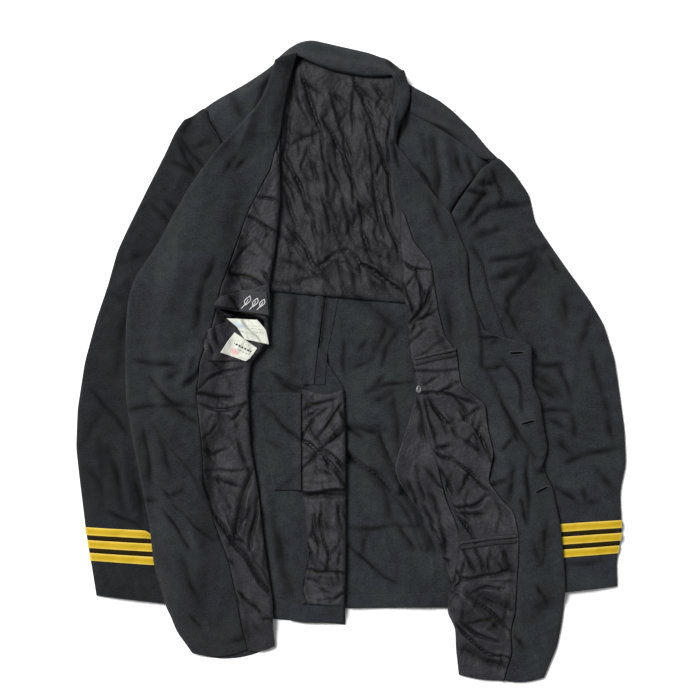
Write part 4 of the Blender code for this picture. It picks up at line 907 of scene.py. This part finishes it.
def lay(node, finish, slot, wall, cell, soft, loft=0.0, rolls=(3, 3, 3, 3), stiff=(2, 2.0), rows=(),
        swells=(80.0, 0.0), corners=CORNER_WAYS, arch=0.0, sharp=0.8, deep=1.6, worn=0.0, painted_edge_shade=0.6,
        joined=(), pulls=()):
    """Height = the softened heap + air + wall + the loft, which falls in a quarter round at each of the four
    sides, + folds and swells. Where that would dip below the heap, a rounded greater-of-two keeps it above:
    half of (a + b + the root of (a - b) squared + a small square). cell and soft are the grid's step and
    the softening of the outline. rolls are the quarter rounds' radii at the left, top, right and bottom,
    and joined are the sides (0 to 3) that go on into another piece without an edge. stiff is how many cells
    the heap is widened and softened by. sharp and deep scale the table's widths and heights, worn is how pale
    a raw edge looks, edging is how much shade is painted dark along it, and a pull moves the cloth round a
    place: (x, y, right, up, reach). The folds' shade and the edge's shade are painted into the cloth's colour."""
    global HEAP, triangles
    plan, s, t = surface_between(node, cell, soft, corners)
    for x, y, right, up, reach in pulls:
        near = np.exp(-(np.hypot(plan[..., 0] - x, plan[..., 1] - y) / reach) ** 2)[..., None]
        plan = plan + np.array((right, up)) * near
    wide = np.hypot(*np.moveaxis(plan[:, -1] - plan[:, 0], -1, 0))[:, None]
    high = np.hypot(*np.moveaxis(plan[-1] - plan[0], -1, 0))[None]
    away = (t * wide, s * high, (1 - t) * wide, (1 - s) * high)
    puff = np.prod([quarter(d, r) for d, r in zip(away, rolls)], axis=0)
    folds = [(*ends, bow, left * sharp, right * sharp, rise * deep)
             for *ends, bow, left, right, rise in FOLDS.get(node, ())]
    both = creased(plan, list(rows) + folds, len(sheets), FOLD_LEAST * cell)
    relief, shade = (blurred(part, FOLD_BLUR) for part in both)
    relief = relief * (0.35 + 0.65 * puff) + swell(plan, len(node) + 7, *swells) * puff
    relief = relief + arch * np.sqrt(np.clip(4 * t * (1 - t), 0, 1))
    rest = sampled(blurred(raised(HEAP, stiff[0]), stiff[1]), plan)
    floor = sampled(raised(HEAP, 1), plan) + AIR + wall
    full = rest + AIR + wall + loft * puff + relief
    plain = 0.5 * (full + floor + np.sqrt((full - floor) ** 2 + (ROUNDING * loft) ** 2))
    open_sides = [d for side, d in enumerate(away) if side not in joined]
    rim = 1.0 - np.min([quarter(d, 0.9 * wall) for d in open_sides], axis=0)
    top = plain - RIM_SAG * wall * rim
    # Painted shade: the folds' shade and a dark band along each open edge, made into the cloth's colour.
    dark = np.maximum((WOOL_SHADE if slot == "wool" else SATIN_SHADE) * shade, (1.0 - worn) * painted_edge_shade * rim)
    pale = worn * np.exp(-(np.min(away, axis=0) / WORN_WIDTH) ** 2)
    piece = shell("cloth_" + node, plan, top, plain - wall, finish, {"painted_shade": dark, "worn": pale})
    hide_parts(node)
    HEAP = heaped(HEAP, plan, plain)
    triangles += sum(len(p.vertices) - 2 for p in piece.data.polygons)
    sheets[node] = (piece, plan, plain)


# %% [markdown]
# ## The back of the jacket
# The back lies lowest, outer side down, so what shows of it is the inner side of its wool through the opening,
# its satin yoke, the vent's facing and the hems. Each half is its own sheet. The seam between them is pressed
# open, and its two allowances are strips that are laid on it.

# %% Lay what lies lowest: collar leaf, lower runs of the cuff braids and the two halves of the back
# The lowest sheets lie on the ground, so there is no air below them.
HEAP -= AIR
WOOL, SATIN, BRAID = FINISHES["wool"], FINISHES["satin"], FINISHES["braid"]
lay_wool = partial(lay, finish=WOOL, slot="wool", wall=1.5)
lay_satin = partial(lay, finish=SATIN, slot="satin", wall=1.0)
CLOSE = (1, 0.8)
lay_braid = partial(lay, finish=BRAID, slot="braid", wall=1.0, soft=1, stiff=CLOSE)
SIDES, BANDS = ("left", "right"), (1, 2, 3)

lay_wool("collar_leaf", cell=4, soft=5)
for side in SIDES:
    for band in BANDS:
        lay_braid(f"braid_under_{side}_{band}", cell=4)
for node, rolls in (("back_right", (1, 20, 20, 10)), ("back_left", (20, 20, 2, 10))):
    lay_wool(node, cell=2.1, soft=6, loft=5.0, rolls=rolls, swells=(80, 1.8), deep=2.0)
print("back laid:", triangles, "triangles")

# %% Hems, seam allowances, vent facing and tuck
for node, rolls in (("back_hem_left", (0, 2, 0, 3)), ("back_hem_right", (0, 2, 2, 3))):
    lay_wool(node, cell=2, soft=2, stiff=CLOSE, loft=0.8, rolls=rolls, swells=(30, 0.3))
for side in SIDES:
    lay(f"centre_seam_{side}", WOOL, "wool", 0.8, cell=1.6, soft=3, stiff=CLOSE, painted_edge_shade=0.2, swells=(30, 0.4))
lay("vent_facing", SATIN, "satin", 0.8, cell=1.7, soft=5, loft=3.0, rolls=(6, 8, 6, 4), swells=(50, 1.2),
    sharp=0.6, painted_edge_shade=0.3, deep=1.8,
    rows=scattered(8, 60, (-66, -330, -8, -40), -80, 30, (12, 36), (1.2, 2.4), (0.8, 2.0)),
    pulls=((-66, -60, -2, 0, 40), (-66, -110, -2, 0, 40), (-66, -160, -2, 0, 40), (-37, -36, 0, -10, 30)))
lay("back_tuck_left", WOOL, "wool", 1.2, cell=2, soft=4, loft=2.0, rolls=(10, 10, 3, 8), swells=(50, 1.0),
    painted_edge_shade=0.25, deep=1.3)

# %% [markdown]
# ## The yoke lining
# The upper back is lined with satin that is cut wider than the back, so it hangs in loose wrinkles when the
# jacket lies down. The long ones come from the table. The short ones between them are scattered by a seeded
# rule over the neck, the middle and the lower edge.

# %% Lay the yoke
# The yoke's darker copy of the satin is painted shade.
lay_satin("yoke_lining", finish=FINISHES["satin_yoke_painted_darker"], cell=1.8, soft=4, loft=3.5, rolls=(3, 3, 3, 6),
          swells=(60, 1.4), stiff=(3, 3), sharp=0.6, deep=1.8,
          rows=scattered(3, 190, (-110, 90, 60, 400), -68, 26, (14, 46), (1.2, 2.6), (0.8, 2.4)))

# %% [markdown]
# ## Fronts, shoulder and collar stand
# The outer runs of the fronts lie face up beside the sleeves. The turned runs lie over them later, with their
# facings and linings up.

# %% Lay the body runs of the fronts, the shoulder strip and the collar stand
for node, cell in (("front_body_left", 3.2), ("front_body_right", 2.6)):
    lay_wool(node, cell=cell, soft=6, loft=2.5, rolls=(8, 3, 8, 8), swells=(90, 1.6), deep=1.5)
lay_wool("back_shoulder_right", cell=2.4, soft=4, loft=1.5, rolls=(3, 4, 3, 4), swells=(60, 0.5))
lay_wool("collar_stand", cell=2, soft=5, loft=7.0, rolls=(0, 10, 0, 4), swells=(60, 0.8), joined=(0, 2),
         corners=((-104, 412), (-73, 422), (57, 391), (72, 400)))

# %% [markdown]
# ## Thread and cord
# A stitch, a cord and an embroidered line are all tubes along paths that lie on the heap. A curve with a bevel
# would do the same, but rings worked out at once for all paths give one closed mesh, however many stitches
# there are.

# %% A tube along a path that lies on the heap
def on_heap(path, lift):
    """A path's places in millimetres with the height of the heap below them and a lift."""
    path = np.asarray(path, dtype=float)
    return np.column_stack((path, sampled(blurred(HEAP, 0.8), path) + lift))


def tube_rings(path, radius, sides):
    """Rings round each point of a path: radius times (cosine of the turn along the side + sine of it along the
    upward normal)."""
    ahead = np.gradient(path, axis=0)
    ahead /= np.linalg.norm(ahead, axis=1, keepdims=True)
    side = np.cross(ahead, (0.0, 0.0, 1.0))
    side /= np.linalg.norm(side, axis=1, keepdims=True)
    normal = np.cross(side, ahead)
    turn = np.arange(sides) / sides * 2 * math.pi
    radius = np.broadcast_to(radius, len(path))[:, None, None]
    outwards = np.cos(turn)[None, :, None] * side[:, None] + np.sin(turn)[None, :, None] * normal[:, None]
    return path[:, None] + radius * outwards


def sewn(name, paths, radius, finish, flat=1.0, sides=7):
    """One piece of several closed tubes. Every path has the same number of points. flat squeezes them in height."""
    bulge = np.sqrt(np.clip(1.0 - np.linspace(-1, 1, len(paths[0])) ** 8, 0.06, 1.0))
    rings = np.stack([tube_rings(path, radius * bulge, sides) for path in paths])
    level = np.stack([path[:, 2] for path in paths])[..., None]
    rings[..., 2] = level + (rings[..., 2] - level) * flat
    count, long = rings.shape[:2]
    index = np.arange(count * long * sides).reshape(count, long, sides)
    beside = np.roll(index, -1, axis=2)
    quads = np.stack((index[:, :-1], index[:, 1:], beside[:, 1:], beside[:, :-1]), axis=-1).reshape(-1, 4)
    ends = index[:, 0].tolist() + index[:, -1, ::-1].tolist()
    return new_piece(name, rings.reshape(-1, 3), quads.tolist() + ends, finish)


def stitch_line(ends, pitch, long, lift):
    """Paths of short stitches along a line through the given points: five points each."""
    ends = np.array(ends, dtype=float)
    run = length_along(ends)
    starts = np.arange(0.5 * pitch, run[-1] - long, pitch)
    spots = starts[:, None] + np.linspace(0, long, 5)[None]
    return [on_heap(np.stack([np.interp(row, run, ends[:, axis]) for axis in (0, 1)], axis=1), lift) for row in spots]


# %% [markdown]
# ## Sleeves and cuff braid
# A sleeve is two pieces that meet at its seams. It lies flat with a little air in it, so the top piece is
# arched like a shallow tube. Three gold lace bands go round each cuff and are sewn down flat.

# %% Lay the sleeves and their braid
for side in SIDES:
    lay_wool(f"sleeve_under_{side}", cell=5, soft=6)
SLEEVE_HEADS = ((-204, 340, 3, 7, 9), (206, 282, -3, 3, 9))
# The left top sleeve's darker copy of the wool is painted shade.
for side, finish in zip(SIDES, (FINISHES["wool_painted_darker"], WOOL)):
    lay_wool(f"sleeve_top_{side}", finish=finish, cell=2.6, soft=6, loft=2.5, rolls=(8, 6, 8, 2), swells=(80, 2.0),
             arch=3.0, stiff=(2, 3), deep=1.5, pulls=SLEEVE_HEADS)
FOLDED_END = {("left", 1): ((-272, -234, 0, -6, 7),)}
for side in SIDES:
    for band in BANDS:
        lay_braid(f"braid_top_{side}_{band}", cell=1.2, worn=1.0, pulls=FOLDED_END.get((side, band), ()))
print("sleeves laid:", triangles, "triangles")

# %% Dark strips between the braids: the wool that shows there, with painted shadow and a painted brown reflection
def band_edge(node, row, count=24):
    """Evenly spaced places along the first or the last row of a braid's sheet."""
    line = sheets[node][1][row]
    steps = np.linspace(0, len(line) - 1, count)
    return np.stack([np.interp(steps, np.arange(len(line)), line[:, axis]) for axis in (0, 1)], axis=1)


for side in SIDES:
    edges = [(band_edge(f"braid_top_{side}_{band}", -1), band_edge(f"braid_top_{side}_{band + 1}", 0))
             for band in BANDS[:-1]]
    gaps = [on_heap(0.5 * (above + below), -0.2) for above, below in edges]
    sewn(f"braid_gap_painted_shade_{side}", gaps, 2.7, FINISHES["gap"], flat=0.15)

# %% [markdown]
# ## Lapels, turned fronts, facings and linings
# Each front is folded open along its side, so the lapel is rolled under it and the wool facing and the satin
# lining lie on top. The facing is cushioned by the canvas inside the front, so it has a soft rolled edge.

# %% Lay the lapels
for side in SIDES:
    lay_wool(f"lapel_{side}", cell=2.4, soft=4, loft=1.0)

# %% Buttons: a turned profile with four holes
BUTTON_SIZE, BUTTON_THICK, BUTTON_STEPS = 20.0, 3.0, 48
PROFILE_ACROSS = np.array((0.0, 0.62, 0.92, 1.0, 1.0, 0.96, 0.86, 0.76, 0.66, 0.54, 0.44, 0.34, 0.24, 0.12, 0.0))
PROFILE_UP = np.array((0.0, 0.0, 0.05, 0.25, 0.62, 0.86, 1.0, 0.97, 0.80, 0.70, 0.68, 0.67, 0.66, 0.66, 0.66))
HOLE_OUT, HOLE_WIDE, HOLE_DEEP = 0.11, 0.075, 0.4


def turned_button(name, size, tilt):
    """Rings of a turned profile round an axis: flat back, rounded rim, raised border and dished face.
    The four holes are dents in the face with shade painted near-black into them. The axis leans by tilt, and the
    button lies on the heap."""
    low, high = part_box(name)
    middle = (low[0] + high[0]) / 2 / MM, (low[1] + high[1]) / 2 / MM
    across = PROFILE_ACROSS * size / 2
    up = PROFILE_UP * BUTTON_THICK * size / BUTTON_SIZE
    turn = np.arange(BUTTON_STEPS) / BUTTON_STEPS * 2 * math.pi
    circle = (np.cos(turn), np.sin(turn))
    rings = np.dstack((*(np.outer(across[1:-1], part) for part in circle), np.outer(up[1:-1], np.ones(BUTTON_STEPS))))
    points = np.concatenate((rings.reshape(-1, 3), [(0, 0, up[0]), (0, 0, up[-1])]))
    rows, last = len(across) - 2, (len(across) - 2) * BUTTON_STEPS
    index = np.arange(last).reshape(rows, BUTTON_STEPS)
    beside = np.roll(index, -1, axis=1)
    quads = np.stack((index[:-1], beside[:-1], beside[1:], index[1:]), axis=-1).reshape(-1, 4).tolist()
    caps = [(int(b), int(a), last) for a, b in zip(index[0], beside[0])]
    caps += [(int(a), int(b), last + 1) for a, b in zip(index[-1], beside[-1])]
    out = (-HOLE_OUT * size, HOLE_OUT * size)
    holes = [np.exp(-(((points[:, 0] - p) ** 2 + (points[:, 1] - q) ** 2) / (HOLE_WIDE * size) ** 2) ** 2)
             for p in out for q in out]
    # How far each point lies in a hole, for the dent and for the shade painted into it.
    dark = np.sum(holes, axis=0) * (points[:, 2] > 0.5 * up.max())
    points[:, 2] -= dark * HOLE_DEEP
    lean = np.array(((math.cos(tilt), 0, math.sin(tilt)), (0, 1, 0), (-math.sin(tilt), 0, math.cos(tilt))))
    points = points @ lean.T
    points += (*middle, -points[:, 2].min() + float(sampled(raised(HEAP, 3), np.array(middle, dtype=float))) + 0.2)
    piece = new_piece("turned_" + name, points, quads + caps, FINISHES["button"])
    set_tone(piece, "painted_shade", dark)
    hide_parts(name)
    cells = np.stack(np.meshgrid(*(np.arange(count) + 0.5 for count in HEAP_SHAPE), indexing="ij"), axis=-1)
    cells = cells * CELL + HEAP_LOW
    covered = np.hypot(cells[..., 0] - middle[0], cells[..., 1] - middle[1]) < 0.5 * size
    HEAP[covered] = np.maximum(HEAP[covered], points[:, 2].max())
    print(name, "top at", round(float(points[:, 2].max()), 1), "mm")


for node in ("button_upper", "button_middle", "button_lower"):
    turned_button(node, BUTTON_SIZE, 0.0)

# %% Lay the side lining and the turned fronts
lay_satin("side_lining_right", cell=1.8, soft=4, loft=1.5, rolls=(3, 2, 3, 2), swells=(60, 0.8))
lay_wool("front_turned_left", cell=4, soft=6)
lay_wool("front_turned_right", cell=4, soft=5)
print("fronts laid:", triangles, "triangles")

# %% Lay the facings and the linings
lay_facing = partial(lay_wool, cell=2.2, loft=3.5, swells=(80, 1.8), joined=(1,), painted_edge_shade=0.4, deep=1.9)
# The left facing's darker copy of the wool is painted shade.
lay_facing("facing_left", finish=FINISHES["wool_facing_painted_darker"], soft=6, rolls=(7, 0, 3, 3))
lay_facing("facing_right", soft=4, rolls=(3, 0, 7, 3))
lay_lining = partial(lay_satin, cell=1.7, soft=4, loft=3.5, swells=(60, 1.2), sharp=0.6, deep=1.8)
lay_lining("lining_left", rolls=(18, 3, 6, 3), corners=((-1, 1), (-1, -1), (1, -1), (1, 0.05)),
           rows=scattered(5, 110, (-205, -390, -100, 250), -72, 24, (14, 50), (1.2, 2.8), (0.8, 2.2)))
lay_lining("lining_right", rolls=(6, 3, 18, 3), pulls=((66, -181, 10, 0, 36), (87, -228, 8, 0, 30)),
           rows=scattered(6, 110, (70, -430, 228, 200), -95, 28, (14, 50), (1.2, 2.8), (0.8, 2.2)))
print("linings laid:", triangles, "triangles")

# %% [markdown]
# ## Pockets, labels and tag
# The left inner pocket gapes, and a near-black strip in its mouth is painted shadow. Two creased labels lie in it.
# The right front has two pockets, each with a lip above and a lip below its slit.

# %% Lay the pockets and what is sewn to them
lay_satin("pocket_bag_left", cell=1.2, soft=2, loft=0.5, rolls=(2, 2, 2, 2), stiff=CLOSE)
MOUTH = np.linspace(0, 1, 15)[:, None]
MOUTH_LINES = [((-176, 71), (-119, 53)), ((-164, 60), (-119, 50))]
mouth_paths = [on_heap((1 - MOUTH) * start + MOUTH * end, -0.1) for start, end in MOUTH_LINES]
# A flat near-black strip in the pocket's mouth is painted shadow.
sewn("pocket_mouth_shade", mouth_paths, 4.2, FINISHES["slit"], flat=0.07)
for node in ("label_lower", "label_upper"):
    lay(node, FINISHES[node], "label", 1.0, cell=0.9, soft=1, stiff=CLOSE, swells=(14, 0.7))
lay_satin("pocket_band_left", cell=1.2, soft=2, loft=1.5, rolls=(2, 2, 2, 3), swells=(40, 0.5))
lay("name_tag", FINISHES["name_tag"], "name_tag", 1.0, cell=0.9, soft=1, stiff=CLOSE, swells=(24, 0.4))
for node in ("welt_upper_1", "welt_upper_2", "welt_lower_1", "welt_lower_2"):
    lay_satin(node, cell=0.9, soft=1.5, stiff=CLOSE, loft=0.8, rolls=(1, 2, 1, 2))
turned_button("button_inner", 0.5 * BUTTON_SIZE, math.radians(50))
print("pieces laid:", len(sheets), "with", triangles, "triangles; highest", round(float(HEAP.max()), 1), "mm")

# %% [markdown]
# ## Sewn details
# A buttonhole is a slit with a cord of thread bound round it and an eyelet at its front end. A line of stitches
# is a row of short thread ends. Both are tubes along paths that lie on the heap. The tag's pale motif is
# embroidered in the same way: three small slanted leaves with their stalks.

# %% Buttonholes in the facing of the left front
BUTTONHOLES = {
    "upper": (216.7, 11.0, 234.6, 11.4),
    "middle": (231.8, -85.6, 249.8, -81.4),
    "lower": (252.5, -179.4, 269.1, -172.5),
}


def buttonhole(hole, x0, y0, x1, y1):
    """The slit is a spindle on the line, with a round eyelet at its front end, both near-black as painted shadow.
    The binding is a stadium round it: two straight sides and a round end at each end."""
    middle, half = np.array(((x0 + x1) / 2, (y0 + y1) / 2)), math.hypot(x1 - x0, y1 - y0) / 2
    way = np.array((x1 - x0, y1 - y0)) / (2 * half)
    aside = np.array((-way[1], way[0]))
    turn = np.linspace(0, 2 * math.pi, 41)
    round_it = np.clip(np.cos(turn) * 1.35, -1, 1)[:, None] * (half + 1.0) * way
    round_it = round_it + np.sin(turn)[:, None] * 1.9 * aside
    slit = np.linspace(-half, half, 15)[:, None] * way
    eyelet = 0.9 * np.column_stack((np.cos(turn[:15] * 0.4), np.sin(turn[:15] * 0.4))) - way * (half + 0.5)
    opening = [on_heap(middle + slit, 0.5), on_heap(middle + eyelet, 0.6)]
    # Painted shadow: the slit and its eyelet are near-black tubes in the opening.
    sewn(f"buttonhole_slit_{hole}", opening, 1.5, FINISHES["slit"], flat=0.4)
    sewn(f"buttonhole_binding_{hole}", [on_heap(middle + round_it, 0.35)], 0.8, FINISHES["thread"], flat=0.7)


for hole, ends in BUTTONHOLES.items():
    buttonhole(hole, *ends)
print("buttonholes:", ", ".join(BUTTONHOLES))

# %% Motif of the tag and stitches of the hems
TAG_LOW, TAG_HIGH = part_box("name_tag")
TAG_MIDDLE = np.array(((TAG_LOW[0] + TAG_HIGH[0]) / 2, (TAG_LOW[1] + TAG_HIGH[1]) / 2)) / MM


def slanted_leaf(shift, tall, lean):
    """A leaf's outline, pointed above and below: x = across by the sine cubed, y = up by the cosine, sheared
    to the right."""
    turn = np.linspace(0, 2 * math.pi, 40)
    x, y = 0.30 * tall * np.sin(turn) ** 3, 0.5 * tall * np.cos(turn)
    return TAG_MIDDLE + shift + np.column_stack((x + lean * y, y))


def leaf_vein(shift, tall, lean):
    """The line from above the leaf's middle to the end of its stalk, bowed to the left."""
    y = np.linspace(0.18, -0.85, 40) * tall
    return TAG_MIDDLE + shift + np.column_stack((lean * y - 0.10 * tall * (y / tall) ** 2 * 4, y))


LEAVES, LEAN = [((-9.0, 2.5), 13.0), ((1.5, 0.0), 12.0), ((11.0, -1.0), 11.0)], 0.5
MOTIF = [make(np.array(shift), tall, LEAN) for shift, tall in LEAVES for make in (slanted_leaf, leaf_vein)]
sewn("tag_motif", [on_heap(line, 0.25) for line in MOTIF], 0.55, FINISHES["pale_thread"], flat=0.6)
HEM_LINES = {
    "left": ((-100.7, -322.9), (-84.0, -327.0), (-70.4, -329.8)),
    "right": ((-1.0, -321.5), (68.0, -320.5), (131.1, -318.5)),
}
for side, ends in HEM_LINES.items():
    sewn(f"hem_stitches_{side}", stitch_line(ends, 4.0, 2.2, 0.05), 0.3, FINISHES["thread"])


# %% [markdown]
# ## The cut of the cloth
# Cloth hardly stretches, so a laid sheet's cut has the size of its own surface: its longest row, its longest
# column and its area. A pocket's lips are too narrow to be sheets of their own and are left out.

# %% Print the size of every sheet
LAID_ON = {"left": ["cloth_back_left", "floor_panel"], "right": ["cloth_back_right", "floor_panel"]}
LIPS = [piece for node, (piece, plan, level) in sheets.items() if node.startswith("welt")]


def declare(node, plan, level):
    """Widest row, longest column and area of the surface of a sheet's upper side."""
    points = np.dstack((plan, level)) * MM
    across, down = np.diff(points, axis=1), np.diff(points, axis=0)
    wide = float(np.linalg.norm(across, axis=-1).sum(1).max())
    long = float(np.linalg.norm(down, axis=-1).sum(0).max())
    area = float(np.linalg.norm(np.cross(across[:-1], down[:, :-1]), axis=-1).sum())
    under = LAID_ON["left" if plan[..., 0].mean() < -40.0 else "right"]
    area = float(np.clip(area, 0.301 * wide * long, wide * long))
    LIPS if node == "lining_right" else ()
    return f"{node} {wide:.3f} x {long:.3f} m, {area:.4f} m2"


for node, (piece, plan, level) in sheets.items():
    if piece not in LIPS:
        print(declare(node, plan, level))

# %% [markdown]
# ## Floor, light and camera
# A garment is shown flat on a pale surface under soft overhead light. One large panel, a little towards the
# upper left, gives the folds their shape, and the bright surroundings keep the shadows open. The camera looks
# straight down through a long lens.

# %% Floor
FLOOR_HALF, FLOOR_LEVEL = 4.0, -0.0004


def floor_panel():
    """A square of pale paper just below the jacket."""
    turns = ((-1, -1), (1, -1), (1, 1), (-1, 1))
    mesh = bpy.data.meshes.new("floor_panel")
    mesh.from_pydata([(x * FLOOR_HALF, y * FLOOR_HALF, FLOOR_LEVEL) for x, y in turns], [], [(0, 1, 2, 3)])
    made, wire, shader = new_finish("pale_paper", 0.9, Specular_IOR_Level=0.1)
    fleck = cloudy(wire, place(wire), 40.0, 2.0)
    wire.plug(shader.inputs["Base Color"], fleck.blend((0.93, 0.93, 0.93, 1), (0.95, 0.95, 0.95, 1)))
    mesh.materials.append(made)
    panel = bpy.data.objects.new("floor_panel", mesh)
    bpy.context.scene.collection.objects.link(panel)


floor_panel()

# %% Light and camera
KEY_SPOT, KEY_SIZE, KEY_WATTS = (-2.6, 2.45, 5.0), 2.7, 590.0
light = bpy.data.lights.new("key_panel", "AREA")
light.shape, light.size, light.energy = "DISK", KEY_SIZE, KEY_WATTS
lamp = bpy.data.objects.new("key_panel", light)
lamp.location = KEY_SPOT
lamp.rotation_euler = mathutils.Vector(KEY_SPOT).to_track_quat("Z", "Y").to_euler()
bpy.context.scene.collection.objects.link(lamp)

SKY_STRENGTH = 0.33
world = bpy.data.worlds.new("bright_room")
world.use_nodes = True
sky = world.node_tree.nodes["Background"].inputs
sky["Color"].default_value, sky["Strength"].default_value = (1.0, 1.0, 1.0, 1.0), SKY_STRENGTH
scene = bpy.context.scene
scene.world = world
scene.view_settings.view_transform = "Standard"

VIEW_WIDTH, LENS, SENSOR = 0.966, 85.0, 36.0
ASIDE = (-0.0014, 0.0152)
camera = bpy.data.cameras.new("overhead")
camera.lens, camera.sensor_width = LENS, SENSOR
eye = bpy.data.objects.new("overhead", camera)
middle = [(low + high) / 2 + aside for low, high, aside in zip(*CAD_BOX, ASIDE)]
eye.location = (*middle, VIEW_WIDTH * LENS / SENSOR)
scene.collection.objects.link(eye)
scene.camera = eye
